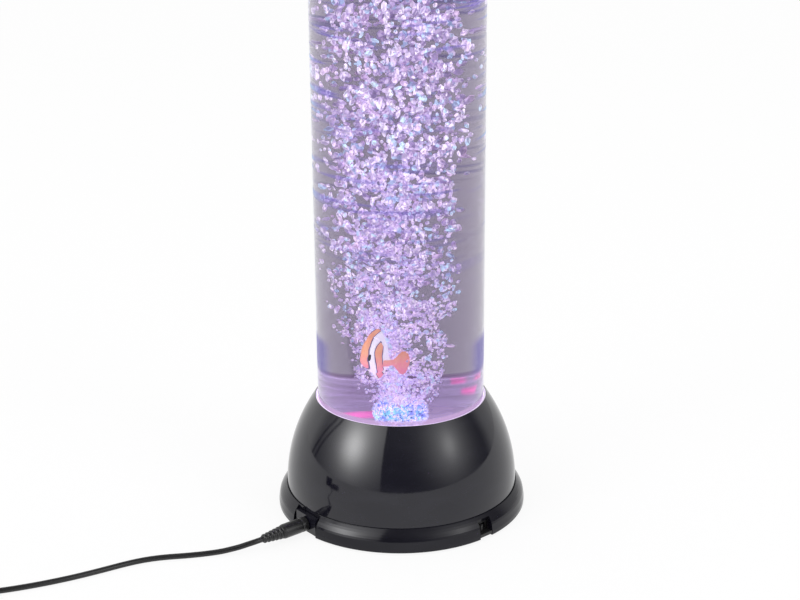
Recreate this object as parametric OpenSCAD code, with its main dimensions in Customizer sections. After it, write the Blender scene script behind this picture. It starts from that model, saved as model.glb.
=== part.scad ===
// Bubble tube floor lamp: a clear water column on a round black base that holds
// an air pump, a ring of lights, a low-voltage inlet and a slide switch.
// Millimetres, +Z up, origin on the floor under the middle of the lamp.

/* [Tube] */
// Outside diameter of the clear tube
tube_d = 110; // [108:1:130]
// Wall of the clear tube
tube_wall = 3; // [2.5:0.25:4.5]
// Length of the clear tube
tube_len = 1000; // [800:10:1200]
// Thickness of the clear disc that closes the foot of the tube
floor_thick = 6; // [5:0.5:9]
// Glue gap around that disc
glue_gap = 0.05; // [0.03:0.01:0.1]

/* [Base] */
// Height of the dome above the ledge of the trim ring
dome_height = 61.8; // [60:0.2:80]
// How much wider the dome is at its foot than at its rim, on the radius
dome_flare = 20; // [18:0.5:30]
// Wall of the dome
dome_wall = 2.5; // [2:0.25:3.5]
// Flat land on the top edge of the dome
rim_land = 0.4; // [0.3:0.1:1]
// How deep the tube stands in the base
seat_depth = 25; // [20:0.5:26]
// How far the dome foot reaches down into the trim ring
dome_lap = 3; // [2:0.5:4]
// Radius of the four screw posts inside the dome
post_r = 4.5; // [4:0.25:5.5]

/* [Trim ring] */
// Height of the trim ring
ring_height = 14.5; // [13.5:0.5:20]
// How far the trim ring stands out from the dome foot, on the radius
ring_step = 5.9; // [5:0.1:8]
// How far the sloped band of the ring leans in towards its top
band_lean = 4.4; // [3:0.2:5]
// Height of the upright lip below that band
lip_height = 6; // [4:0.5:7]
// How far the inner shelf under the dome foot reaches in
shelf_reach = 3.5; // [3:0.5:4]
// Thickness of that shelf
shelf_thick = 2; // [1.5:0.25:3]

/* [Bottom plate and feet] */
// Thickness of the bottom plate
plate_thick = 2.5; // [2:0.25:4]
// How far the plate lies above the lower edge of the trim ring
plate_lift = 0.4; // [0.2:0.1:1]
// Diameter of a rubber foot
foot_d = 14; // [10:1:14]
// How far the feet stand out below the trim ring
foot_proud = 1; // [0.5:0.25:3]
// Depth of the pocket that holds a foot
foot_pocket = 0.8; // [0.5:0.1:1.2]
// Shank diameter of the case screws
screw_d = 3; // [2.5:0.25:3.5]
// Length of the case screws
screw_len = 12; // [8:1:20]

/* [Seat of the tube] */
// Wall of the translucent cup around the foot of the tube
cup_wall = 1; // [0.8:0.1:2]
// Thickness of the floor of the cup
cup_floor = 2.5; // [2:0.25:4]
// Clear radius in the middle of the cup floor
cup_hole_r = 14; // [11:0.5:18]
// Wall of the drum that carries the cup
drum_wall = 2.5; // [2:0.25:3]
// Width of the foot flange of the drum
drum_flange = 8; // [7:0.5:8.5]

/* [Air stone and nozzle] */
// Diameter of the air stone
stone_d = 26; // [22:1:44]
// Height of the air stone
stone_h = 17; // [12:0.5:26]
// Diameter of the threaded stem of the air nozzle
stem_d = 10; // [8:0.5:12]
// Diameter of the nozzle flange
nozzle_flange_d = 18; // [16:0.5:22]
// Thickness of the nozzle gasket
gasket_thick = 1.5; // [1:0.25:2.5]
// Bore of the air way
air_bore = 2.4; // [1.5:0.1:3]

/* [Lights] */
// Gap between the light board and the floor of the cup
light_gap = 5.2; // [4:0.2:7]
// Thickness of the circuit boards
board_thick = 1.6; // [1:0.1:2]
// Number of light chips on the ring
chip_count = 12; // [6:1:18]
// Side of a light chip
chip_side = 5; // [3:0.5:6]
// Height of a light chip
chip_height = 1.6; // [1:0.1:2.5]

/* [Air pump] */
// Length of the pump case
pump_len = 68; // [66:0.5:70]
// Width of the pump case
pump_width = 36; // [35:0.5:38]
// Height of the pump case with its lid
pump_height = 26.6; // [26:0.2:27.4]
// Wall of the pump case
pump_wall = 1.8; // [1.4:0.1:2]
// Thickness of the pump lid
lid_thick = 2; // [1.5:0.1:2.5]
// Height of the rubber pads under the pump
pad_height = 2.5; // [2:0.1:2.8]
// Diameter of the pivot pin of the vibrating arm
pivot_d = 3; // [2:0.25:4]
// Thickness of the vibrating arm
arm_thick = 3; // [2:0.25:4]
// Outside diameter of the air hose
hose_d = 6.4; // [5.8:0.1:7]
// Diameter of the hose barbs
barb_d = 4.4; // [3.6:0.1:4.4]

/* [Power inlet] */
// Direction of the inlet around the base, in degrees from +X
inlet_angle = 219.2; // [216:0.1:222]
// Height of the axis of the inlet above the floor
inlet_z = 6.8; // [6.6:0.1:7.2]
// Width of the frame around the inlet
inlet_width = 20.4; // [18:0.2:22]
// Diameter of the socket bore
socket_d = 5.7; // [5.6:0.05:6]
// Diameter of the metal barrel of the plug
barrel_d = 5.5; // [5.2:0.05:5.55]
// Diameter of the grip of the plug
plug_d = 9.6; // [8:0.2:11]
// Length of the grip of the plug
plug_len = 20; // [14:0.5:26]
// Length of the ribbed bend relief behind the grip
relief_len = 14.5; // [10:0.5:20]
// Number of ribs on the bend relief
rib_count = 5; // [3:1:7]

/* [Switch] */
// Direction of the switch around the base, in degrees from +X
switch_angle = 311.5; // [305:0.5:318]
// Width of the finger recess in front of the switch
recess_width = 10.6; // [10:0.2:14]
// Height of the top of the recess above the lower edge of the ring
recess_height = 12.6; // [11:0.2:12.8]
// Travel of the slide button
switch_travel = 3; // [2:0.25:3]
// Width of the slide button
knob_width = 3.8; // [3:0.2:4]

/* [Top cap] */
// Height of the cap skirt
cap_skirt = 20; // [12:1:40]
// Wall of the cap skirt
cap_wall = 2.4; // [1.6:0.2:4]
// Thickness of the cap top
cap_thick = 3; // [2:0.5:5]
// Diameter of the vent hole in the cap
vent_d = 4; // [2:0.5:8]
// Thickness of the soft ring under the cap
seal_thick = 1.2; // [0.8:0.2:2]

/* [Fish] */
// Length of a fish, nose to tail
fish_len = 34; // [26:1:42]
// Height of the body of a fish
fish_height = 24; // [16:1:28]
// Thickness of the body of a fish
fish_thick = 10; // [8:0.5:14]

/* [Lead] */
// Diameter of the lead
lead_d = 3.7; // [3.5:0.1:3.8]
// Distance between neighbouring turns of the coil, middle to middle
coil_pitch = 4.15; // [4.15:0.05:4.3]
// Radius of the innermost turn of the coil
coil_in_r = 15; // [15:0.5:17]
// Number of layers in the coil
coil_layers = 4; // [2:2:4]
// Thickness of the tie around the coil
tie_thick = 0.8; // [0.6:0.1:1]
// Width of the tie
tie_width = 6; // [4:0.5:8]

/* [Adapter] */
// Length of the adapter case
adapter_len = 38; // [34:1:42]
// Width of the adapter case
adapter_width = 34; // [30:1:40]
// Wall of the adapter case
adapter_wall = 2; // [1.6:0.1:2.5]
// Length of a contact blade outside the case
blade_len = 15.9; // [14:0.1:18]
// Distance between the two blades
blade_gap = 12.7; // [12.7:0.1:12.7]

/* [Hidden] */
// Clearances between pieces
snug = 0.05;
slip = 0.15;
gap = 0.3;
eps = 0.01;

// Heights, from the floor up
ring_z = foot_proud;
plate_z = ring_z + plate_lift;
plate_top = plate_z + plate_thick;
ledge_z = ring_z + ring_height;
dome_foot_z = ledge_z - dome_lap;
shelf_z = dome_foot_z - shelf_thick;
rim_z = ledge_z + dome_height;
seat_z = rim_z - seat_depth;
drum_top = seat_z - cup_floor;
light_z = drum_top - light_gap - board_thick;
tube_top = seat_z + tube_len;
floor_top = seat_z + floor_thick;

// Radii, from the tube outwards
tube_r = tube_d / 2;
bore_r = tube_r - tube_wall;
cup_in_r = tube_r + slip;
cup_r = cup_in_r + cup_wall;
dome_bore_r = cup_r + 0.25;
rim_r = dome_bore_r + rim_land;
foot_r = rim_r + dome_flare;
ring_r = foot_r + ring_step;
plate_r = ring_r - 2.7;
shoulder_r = ring_r - 4;
ring_bore_r = foot_r + gap;
shelf_r = ring_bore_r - shelf_reach;
band_top_r = ring_r - 0.5 - band_lean;
drum_r = tube_r - 1;
drum_in_r = drum_r - drum_wall;

// The side of the dome is one arc that stands upright at its foot
arc_r = (pow(dome_flare, 2) + pow(dome_height, 2)) / (2 * dome_flare);
arc_x = foot_r - arc_r;
function dome_in(z) = arc_x + sqrt(pow(arc_r - dome_wall, 2) - pow(z - ledge_z, 2));

// Fasteners and feet
post_ring_r = shelf_r - post_r - 2;
drum_screw_r = drum_r + drum_flange / 2;
foot_ring_r = ring_r - 15;
screw_r = screw_d / 2;
head_r = screw_d;
head_h = screw_r;
post_angles = [0, 90, 180, 270];
drum_angles = [22.5, 112.5, 202.5, 292.5];
foot_angles = [60, 150, 240, 330];

// Four places: left and right by x, at y0 and y1
function corners(x, y0, y1) = [[-x, y0], [-x, y1], [x, y0], [x, y1]];

// Pump, placed from the middle of the lamp
pump_x = -pump_len / 2;
pump_y = -4;
pump_z = plate_top + pad_height;
pump_mid_y = pump_y + pump_width / 2;
pump_top = pump_z + pump_height;
pump_floor = pump_z + pump_wall;
lid_z = pump_top - lid_thick;
pads = corners(pump_len / 2 - 8, pump_y + 7, pump_y + pump_width - 7);
pad_r = 5;
peg_r = 2;
lid_posts = corners(pump_len / 2 - 4.5, pump_y + 4.5, pump_y + pump_width - 4.5);
lid_post_r = 2.6;
arm_z = (pump_floor + lid_z) / 2 + 0.6;
pivot_x = pump_x + 9;
valve_x = -8;
valve_w = 18;
valve_h = 5;
core_x = 13;
core_len = pump_len / 2 - pump_wall - gap - core_x;
core_half_y = 8;
core_half_z = 10;
pole = 3.5;
mid_pole = 3;
core_back = 5;
magnet_thick = 3;
magnet_gap = 1.5;
outlet_z = pump_floor + valve_h / 2;
hose_r = hose_d / 2;
barb_r = barb_d / 2;
barb_len = 7;

// Air nozzle
stem_r = stem_d / 2;
elbow_z = pump_top + hose_r + 1.3;
elbow_r = elbow_z - pump_top - gap;
flange_z = floor_top + gasket_thick;
flange_thick = 1.5;
nipple_top = flange_z + flange_thick + 6;
stone_z = flange_z + flange_thick + 0.2;
nut_h = 4;

// Control board and the non-return valve above it
board_y = 13.5 - drum_in_r;
board_w = 20;
board_l = 56;
board_z = plate_top + 4.1;
board_top = board_z + board_thick;
board_holes = corners(board_l / 2 - 4, board_y + 3, board_y + board_w - 3);
header_y = board_y + 9.5;
header_z = board_top + 2.5;
check_x = 8;
check_len = 12;
check_y = board_y + 10;
check_z = board_top + 20.4;
check_r = 6;
wire_r = 1.1;

// Inlet and plug, measured outwards along the inlet direction
inlet_face = ring_r - 2.3;
inlet_back = inlet_face - 16.5;
frame_thick = 2.9;
frame_top = shelf_z + shelf_thick + 0.4;
plug_face = inlet_face + 0.2;
barrel_len = 9.5;
barrel_grip = 5;
relief_start = plug_face + plug_len;
plug_end = relief_start + relief_len;
inlet_dir = [cos(inlet_angle), sin(inlet_angle), 0];

// Switch, measured outwards along its direction
switch_face = ring_bore_r - 0.4;
switch_back = switch_face - 11;
switch_z = plate_top;
switch_h = shelf_z - plate_top - gap;
knob_half = knob_width / 2;
knob_h = switch_h - 2.6;

// Lead: the free stretch lies on the floor from the plug to the coil
coil_mid = [-292, -158];
coil_turns = 2.5;
coil_out_r = coil_in_r + coil_pitch * coil_turns;
coil_z = tie_thick + gap + lead_d / 2;
coil_steps = 24;
floor_h = lead_d / 2;
lead_start = plug_end * inlet_dir + [0, 0, inlet_z];
lead_end = [coil_mid[0] + lead_d, coil_mid[1] + coil_out_r, coil_z];
lead_route = concat(
    [lead_start, lead_start + lead_d * inlet_dir],
    [[-98, -77.2, 5.7], [-103, -78.4, 4.5], [-108, -79.2, 3.5], [-114, -80.2, 2.5],
        [-120, -81.2, 2]],
    [for (p = [[-128, -82.9], [-138, -84.7], [-148, -86.1], [-158, -88.4], [-167, -91.8],
        [-176, -96.4], [-185, -101.6], [-194, -106.6], [-203, -111.3], [-212, -115.5],
        [-221, -119.3], [-230, -122.7], [-240, -126], [-250, -128.7]]) [p[0], p[1], floor_h]],
    [[-260, -131, 2.1], [-270, -132, 2.5]],
    [[-280, lead_end[1], coil_z], lead_end]);

// Adapter, beyond the coil
tail_end = coil_mid[0] - 14;
adapter_relief = 16;
adapter_x = tail_end - adapter_relief;
adapter_mid_z = coil_z + (coil_layers - 1) * coil_pitch;
adapter_height = 2 * adapter_mid_z;
adapter_y = lead_end[1];
blade_thick = 1.5;
blade_width = 6.3;
lid_depth = 4;

// Fish: where each one hangs in the water, [x, y, z], turn and tilt in degrees
fish_homes = [
    [[-9.5, -25, 111.7], 222, 12],
    [[14, 22, 390], 40, 6],
    [[-18, 16, 545], 150, -8],
    [[20, -16, 700], 320, 12],
    [[-8, -22, 855], 215, -5]];

// ---- Shared shapes ----

module disc(r, h, z = 0, fn = 120) {
    translate([0, 0, z]) cylinder(r = r, h = h, $fn = fn);
}

module ring(r_out, r_in, h, z = 0, fn = 120) {
    difference() {
        disc(r_out, h, z, fn);
        disc(r_in, h + 2, z - 1, fn);
    }
}

// Puts its children at one radius, at each of the angles
module around(angles, r) {
    for (a = angles) rotate([0, 0, a]) translate([r, 0, 0]) children();
}

// A box that faces outwards at an angle: from r0 to r1, half width s, z0 to z1
module slab(angle, r0, r1, s, z0, z1) {
    rotate([0, 0, angle]) translate([r0, -s, z0]) cube([r1 - r0, 2 * s, z1 - z0]);
}

// A cylinder along the direction of an angle, from r0 to r1 at height z
module spoke(angle, r0, r1, r, z, fn = 48) {
    rotate([0, 0, angle]) translate([r0, 0, z]) rotate([0, 90, 0])
        cylinder(r = r, h = r1 - r0, $fn = fn);
}

// Cross-section of the dome, with wall t taken from the outside
module dome_section(t) {
    difference() {
        intersection() {
            translate([arc_x, ledge_z]) circle(r = arc_r, $fn = 360);
            translate([dome_bore_r, ledge_z]) square([foot_r, dome_height]);
        }
        translate([arc_x, ledge_z]) circle(r = arc_r - t, $fn = 360);
    }
}

// Counter-sunk screw, head down at z, shank up
module screw(z, len) {
    translate([0, 0, z]) cylinder(r1 = head_r, r2 = screw_r, h = head_h, $fn = 32);
    translate([0, 0, z]) cylinder(r = screw_r, h = len, $fn = 32);
}

module screw_hole(z) {
    translate([0, 0, z - eps])
        cylinder(r1 = head_r + slip, r2 = screw_r + slip, h = head_h, $fn = 32);
    translate([0, 0, z - 1]) cylinder(r = screw_r + slip, h = 12, $fn = 32);
}

// ---- Tubes swept along a route ----

function unit(v) = v / norm(v);
function step(p, i) = unit(p[i + 1] - p[i]);
function heading(p, i) = i == 0 ? step(p, 0)
    : i == len(p) - 1 ? step(p, i - 1) : unit(step(p, i - 1) + step(p, i));
function flatten(n, t) = unit(n - (n * t) * t);
function across(t) = abs(t[2]) > 0.7 ? flatten([1, 0, 0], t) : flatten([0, 0, 1], t);

// One direction across the route at each point, carried on without twist
function carried(p, i, last) = i == len(p) ? []
    : let(n = flatten(last, heading(p, i))) concat([n], carried(p, i + 1, n));

function tube_points(p, r, sides) =
    let(n = carried(p, 0, across(heading(p, 0))))
    [for (i = [0:len(p) - 1]) let(t = heading(p, i), b = cross(t, n[i]))
        for (k = [0:sides - 1]) let(a = 360 * (k + 0.5) / sides)
            p[i] + r * (cos(a) * n[i] + sin(a) * b)];

function side_faces(rings, sides) =
    [for (i = [0:rings - 2], k = [0:sides - 1], half = [0, 1])
        let(a = i * sides + k, b = i * sides + (k + 1) % sides)
        half == 0 ? [a, a + sides, b] : [b, a + sides, b + sides]];

function end_faces(rings, sides) = let(last = (rings - 1) * sides) concat(
    [for (k = [1:sides - 2]) [0, k, k + 1]],
    [for (k = [1:sides - 2]) [last, last + k + 1, last + k]]);

// Rings of points, each with the same number of points, closed at both ends
module loft(points, sides) {
    rings = len(points) / sides;
    polyhedron(points, concat(side_faces(rings, sides), end_faces(rings, sides)));
}

module swept(p, r, sides = 8) {
    loft(tube_points(p, r, sides), sides);
}

// A smooth run through the points of a route, k steps between neighbours
function blend(a, b, c, d, t) = 0.5 * (2 * b + (c - a) * t
    + (2 * a - 5 * b + 4 * c - d) * t * t + (3 * b - a - 3 * c + d) * t * t * t);
function smooth(p, k) = let(n = len(p)) concat(
    [for (i = [0:n - 2], j = [0:k - 1])
        blend(p[max(i - 1, 0)], p[i], p[i + 1], p[min(i + 2, n - 1)], j / k)],
    [p[n - 1]]);

// ---- Case ----

module bottom_plate() {
    color([0.07, 0.07, 0.08]) {
        difference() {
            union() {
                disc(plate_r, plate_thick, plate_z);
                // tab that closes the foot of the switch recess
                slab(switch_angle, switch_face + gap, ring_r - 0.4, recess_width / 2 - gap,
                    plate_z + 0.9, plate_top + 0.5);
                for (p = board_holes) translate([p[0], p[1], plate_top - eps])
                    cylinder(r = 2.5, h = board_z - plate_top + eps, $fn = 32);
                for (p = pads) translate([p[0], p[1], plate_top - eps])
                    cylinder(r = peg_r, h = pad_height - 0.6, $fn = 32);
            }
            around(foot_angles, foot_ring_r)
                translate([0, 0, plate_z - 1]) cylinder(r = foot_d / 2 + slip,
                    h = 1 + foot_pocket, $fn = 48);
            around(post_angles, post_ring_r) screw_hole(plate_z);
            around(drum_angles, drum_screw_r) screw_hole(plate_z);
            // room for the power inlet at the edge of the plate
            slab(inlet_angle, inlet_back - gap, ring_r, 6.5 + gap, 0, plate_top + 1);
            slab(inlet_angle, inlet_face - frame_thick - gap, ring_r, inlet_width / 2 + gap,
                0, plate_top + 1);
            // blind holes for the board screws
            for (p = board_holes) translate([p[0], p[1], plate_top])
                cylinder(r = 1.05, h = 10, $fn = 24);
            // air slots under the pump
            for (i = [-2:2]) translate([i * 7 - 1.5, pump_mid_y - 8, 0]) cube([3, 16, 8]);
        }
    }
}

module rubber_feet() {
    color([0.12, 0.12, 0.12]) around(foot_angles, foot_ring_r) difference() {
        cylinder(r1 = foot_d / 2 - 0.6, r2 = foot_d / 2, h = plate_z + foot_pocket, $fn = 48);
        translate([0, 0, -1]) cylinder(r = 1.5, h = 1.6, $fn = 24);
    }
}

module case_screws() {
    color([0.7, 0.7, 0.72]) around(post_angles, post_ring_r) screw(plate_z + 0.1, screw_len);
}

// The sloped band bulges a little between its lower and upper edge
module ring_section() {
    band = [for (i = [0:6]) let(t = i / 6)
        [ring_r - 0.5 - band_lean * pow(t, 1.7),
        ring_z + lip_height + t * (ring_height - lip_height - 0.4)]];
    polygon(concat(
        [[plate_r + gap, ring_z], [ring_r - 0.4, ring_z], [ring_r, ring_z + 0.6],
        [ring_r, ring_z + lip_height / 2]],
        band,
        [[band_top_r - 0.4, ledge_z], [ring_bore_r, ledge_z], [ring_bore_r, dome_foot_z],
        [shelf_r, dome_foot_z], [shelf_r, shelf_z], [shoulder_r, shelf_z],
        [shoulder_r, plate_top], [plate_r + gap, plate_top]]));
}

module trim_ring() {
    color([0.05, 0.05, 0.06]) difference() {
        rotate_extrude($fn = 180) ring_section();
        // cut-out for the power inlet, through the outer wall only
        slab(inlet_angle, ring_bore_r - 0.15, ring_r + 5, inlet_width / 2 + 1.8, -1, ledge_z + 1);
        // finger recess in front of the switch
        slab(switch_angle, ring_bore_r - 0.15, ring_r + 5, recess_width / 2, -1,
            ring_z + recess_height);
    }
}

module base_dome() {
    color([0.05, 0.05, 0.06]) difference() {
        union() {
            rotate_extrude($fn = 180) union() {
                dome_section(dome_wall);
                translate([foot_r - dome_wall, dome_foot_z]) square([dome_wall, dome_lap + eps]);
            }
            // screw posts that run up into the shell
            intersection() {
                around(post_angles, post_ring_r) disc(post_r, rim_z, plate_top, 48);
                rotate_extrude($fn = 180) union() {
                    intersection() {
                        translate([arc_x, ledge_z]) circle(r = arc_r - dome_wall / 2, $fn = 360);
                        translate([0, ledge_z]) square([foot_r, dome_height]);
                    }
                    square([foot_r - dome_wall / 2, ledge_z + eps]);
                }
            }
        }
        around(post_angles, post_ring_r)
            disc(screw_r + snug, screw_len, plate_z + 0.5, 32);
    }
}

module support_drum() {
    color([0.85, 0.85, 0.83]) difference() {
        union() {
            ring(drum_r, drum_in_r, drum_top - plate_top, plate_top);
            ring(drum_r + drum_flange, drum_in_r, 2.5, plate_top);
            // ledge that the light board lies on
            ring(drum_r - eps, drum_in_r - 5, 2, light_z - 2);
            around(drum_angles, drum_screw_r) disc(3.2, 9, plate_top, 32);
        }
        around(drum_angles, drum_screw_r) disc(screw_r + snug, 7, plate_top - 1, 32);
        // windows for the leads
        for (a = [inlet_angle, switch_angle, inlet_angle - 180, switch_angle - 180])
            slab(a, drum_in_r - 2, drum_r + 0.5, 8, plate_top + 2.5, plate_top + 16);
        // blind holes for the light board screws
        around([60, 180, 300], drum_in_r - 2.6) disc(1.05, 4, light_z - 1.6, 24);
    }
}

module drum_screws() {
    color([0.7, 0.7, 0.72]) around(drum_angles, drum_screw_r) screw(plate_z + 0.1, 8);
}

// Translucent cup: the tube stands in it, and its collar sits under the dome rim
module seat_cup() {
    collar_z = rim_z - 9.3;
    color([0.85, 0.8, 0.95, 0.5]) {
        ring(cup_r, cup_hole_r, cup_floor, drum_top);
        ring(cup_r, cup_in_r, rim_z - 0.3 - drum_top, drum_top);
        ring(dome_in(collar_z) - gap, cup_r - 0.2, 2, collar_z - 2);
    }
}

module tube() {
    color([0.8, 0.85, 0.95, 0.35]) ring(tube_r, bore_r, tube_len, seat_z);
}

module tube_floor() {
    color([0.85, 0.85, 0.95, 0.5])
        ring(bore_r - glue_gap, stem_r + snug, floor_thick, seat_z);
}

// ---- Air way ----

module air_nozzle() {
    color([0.9, 0.9, 0.9]) difference() {
        union() {
            disc(stem_r, flange_z + flange_thick - elbow_z, elbow_z, 48);
            disc(nozzle_flange_d / 2, flange_thick, flange_z, 48);
            disc(2.5, nipple_top - elbow_z, elbow_z, 32);
            translate([0, 0, elbow_z]) sphere(r = elbow_r, $fn = 48);
            spoke(0, 0, stem_r + barb_len, barb_r, elbow_z, 32);
        }
        disc(air_bore / 2, nipple_top, elbow_z, 24);
        spoke(0, -air_bore / 2, stem_r + barb_len + 1, air_bore / 2, elbow_z, 24);
    }
}

module nozzle_gasket() {
    color([0.2, 0.2, 0.2])
        ring(nozzle_flange_d / 2 - 0.2, stem_r + snug, gasket_thick, floor_top, 48);
}

module nozzle_nut() {
    color([0.9, 0.9, 0.9]) difference() {
        disc(stem_r + 4, nut_h, seat_z - nut_h, 6);
        disc(stem_r + snug, nut_h + 2, seat_z - nut_h - 1, 48);
    }
}

// Flattened ball of porous stone
module air_stone() {
    edge = stone_h * 0.42;
    color([0.45, 0.6, 0.9]) difference() {
        translate([0, 0, stone_z]) rotate_extrude($fn = 72) intersection() {
            square([stone_d, stone_h]);
            union() {
                translate([stone_d / 2 - edge, edge]) circle(r = edge, $fn = 96);
                translate([stone_d / 2 - edge, stone_h - edge]) circle(r = edge, $fn = 96);
                translate([stone_d / 2 - edge, edge]) square([edge, stone_h - 2 * edge]);
                square([stone_d / 2 - edge, stone_h]);
            }
        }
        disc(2.5 + snug, nipple_top + 0.5 - stone_z + 1, stone_z - 1, 32);
    }
}

// ---- Boards ----

module light_board() {
    color([0.9, 0.92, 0.9]) difference() {
        ring(drum_in_r - gap, stem_r + 2, board_thick, light_z);
        around([60, 180, 300], drum_in_r - 2.6) disc(1.2, board_thick + 2, light_z - 1, 24);
    }
}

module light_chips() {
    color([0.95, 0.9, 0.6]) around([for (i = [0:chip_count - 1]) 360 * (i + 0.5) / chip_count],
        drum_in_r - 13.5)
        translate([-chip_side / 2, -chip_side / 2, light_z + board_thick])
            cube([chip_side, chip_side, chip_height]);
}

module control_board() {
    color([0.1, 0.4, 0.2]) difference() {
        translate([-board_l / 2, board_y, board_z]) cube([board_l, board_w, board_thick]);
        for (p = board_holes) translate([p[0], p[1], board_z - 1])
            cylinder(r = 1.2, h = board_thick + 2, $fn = 24);
    }
}

module board_parts() {
    color([0.15, 0.15, 0.17]) {
        // plugs of the leads
        translate([-27, board_y + 6, board_top]) cube([7, 7, 5]);
        translate([20, board_y + 6, board_top]) cube([7, 7, 5]);
        translate([9, board_y + 1, board_top]) cube([7, 6, 5]);
        translate([0, board_y + 14, board_top]) cube([6, 6, 5]);
        // controller chip and storage capacitor
        translate([-6, board_y + 2, board_top]) cube([9, 7, 1.8]);
        translate([-14, board_y + 5, board_top]) cylinder(r = 4, h = 9, $fn = 32);
        translate([15, board_y + 15.5, board_top]) cylinder(r = 3, h = 7, $fn = 32);
    }
}

module board_screws() {
    color([0.75, 0.75, 0.78]) {
        for (p = board_holes) translate([p[0], p[1], 0]) {
            disc(1, board_top - plate_top - 0.2, plate_top + 0.2, 24);
            disc(2, 1.4, board_top, 24);
        }
        around([60, 180, 300], drum_in_r - 2.6) {
            disc(1, board_thick + 1.4, light_z - 1.4, 24);
            disc(1.9, 1.2, light_z + board_thick, 24);
        }
    }
}

// ---- Power inlet and switch ----

module power_inlet() {
    color([0.03, 0.03, 0.03]) difference() {
        union() {
            slab(inlet_angle, inlet_face - frame_thick, inlet_face, inlet_width / 2,
                ring_z + 0.2, frame_top);
            slab(inlet_angle, inlet_back, inlet_face - eps, 6.5, ring_z + 1, shelf_z - 0.2);
            // wings that rest on the plate
            slab(inlet_angle, inlet_back + 1, inlet_face - frame_thick - 4, 9.5,
                plate_top, plate_top + 2);
        }
        difference() {
            spoke(inlet_angle, inlet_back + 2.5, inlet_face + 1, socket_d / 2, inlet_z, 48);
            spoke(inlet_angle, inlet_back, inlet_face - 2.5, 0.95, inlet_z, 24);
        }
    }
}

module switch_body() {
    color([0.05, 0.05, 0.05]) difference() {
        slab(switch_angle, switch_back, switch_face, 6.2, switch_z, switch_z + switch_h);
        // channel that the button slides in
        slab(switch_angle, switch_face - 4, switch_face + 1,
            knob_half + switch_travel / 2 + gap, switch_z + 1, switch_z + switch_h - 1);
    }
}

module switch_knob() {
    color([0.1, 0.1, 0.1]) rotate([0, 0, switch_angle]) translate([0, -switch_travel / 2, 0]) {
        translate([switch_face - 3.7, -knob_half, switch_z + 1.3])
            cube([5.5, knob_width, knob_h]);
        // finger rib
        translate([switch_face + 1.8 - eps, -0.5, switch_z + 1.3]) cube([0.7, 1, knob_h]);
    }
}

// ---- Air pump ----

module pump_shell(inset, z, h) {
    translate([pump_x + inset, pump_y + inset, z])
        cube([pump_len - 2 * inset, pump_width - 2 * inset, h]);
}

module pump_case() {
    color([0.88, 0.88, 0.86]) difference() {
        union() {
            difference() {
                pump_shell(0, pump_z, lid_z - pump_z);
                pump_shell(pump_wall, pump_floor, 100);
            }
            intersection() {
                pump_shell(0, pump_z, lid_z - pump_z);
                union() {
                    for (p = lid_posts) translate([p[0], p[1], pump_z])
                        cylinder(r = lid_post_r, h = 50, $fn = 32);
                    // ears of the pivot pin
                    for (s = [-1, 1]) translate([pivot_x - 3, pump_mid_y + s * 10.5 - 1.5, pump_z])
                        cube([6, 3, arm_z + 4 - pump_z]);
                    // ribs under the iron core
                    for (x = [core_x + 3, core_x + core_len - 5])
                        translate([x, pump_mid_y - 6, pump_z])
                            cube([2, 12, arm_z - core_half_z - pump_z]);
                }
            }
        }
        for (p = lid_posts) translate([p[0], p[1], lid_z - 8]) cylinder(r = 1.05, h = 20, $fn = 24);
        translate([pivot_x, 0, arm_z]) rotate([-90, 0, 0]) translate([0, 0, pump_mid_y - 15])
            cylinder(r = pivot_d / 2 + snug, h = 30, $fn = 32);
        // air outlet and lead hole in the front wall
        translate([valve_x, pump_y - 1, outlet_z]) rotate([-90, 0, 0])
            cylinder(r = barb_r + slip, h = pump_wall + 2, $fn = 32);
        translate([core_x + 7, pump_y - 1, arm_z]) rotate([-90, 0, 0])
            cylinder(r = wire_r + gap, h = pump_wall + 2, $fn = 24);
    }
}

module pump_lid() {
    color([0.88, 0.88, 0.86]) difference() {
        pump_shell(0, lid_z, lid_thick);
        for (p = lid_posts) translate([p[0], p[1], 0]) {
            disc(1.2, lid_thick + 2, lid_z - 1, 24);
            translate([0, 0, pump_top - 1.1]) cylinder(r1 = 1.2, r2 = 2.4, h = 1.1 + eps, $fn = 24);
        }
    }
}

module lid_screws() {
    color([0.7, 0.7, 0.72]) for (p = lid_posts) translate([p[0], p[1], 0]) {
        disc(1, 8, pump_top - 8.2, 24);
        translate([0, 0, pump_top - 1.1]) cylinder(r1 = 1, r2 = 2.2, h = 1, $fn = 24);
    }
}

module pump_pads() {
    color([0.15, 0.15, 0.15]) for (p = pads) translate([p[0], p[1], 0])
        ring(pad_r, peg_r + slip, pad_height, plate_top, 32);
}

// Laminated iron with three poles that face the magnet
module pump_core() {
    slot_h = core_half_z - pole - mid_pole;
    color([0.4, 0.4, 0.43]) difference() {
        translate([core_x, pump_mid_y - core_half_y, arm_z - core_half_z])
            cube([core_len, 2 * core_half_y, 2 * core_half_z]);
        for (z = [arm_z - mid_pole - slot_h, arm_z + mid_pole])
            translate([core_x - 1, pump_mid_y - core_half_y - 1, z])
                cube([core_len - core_back + 1, 2 * core_half_y + 2, slot_h]);
    }
}

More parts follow.
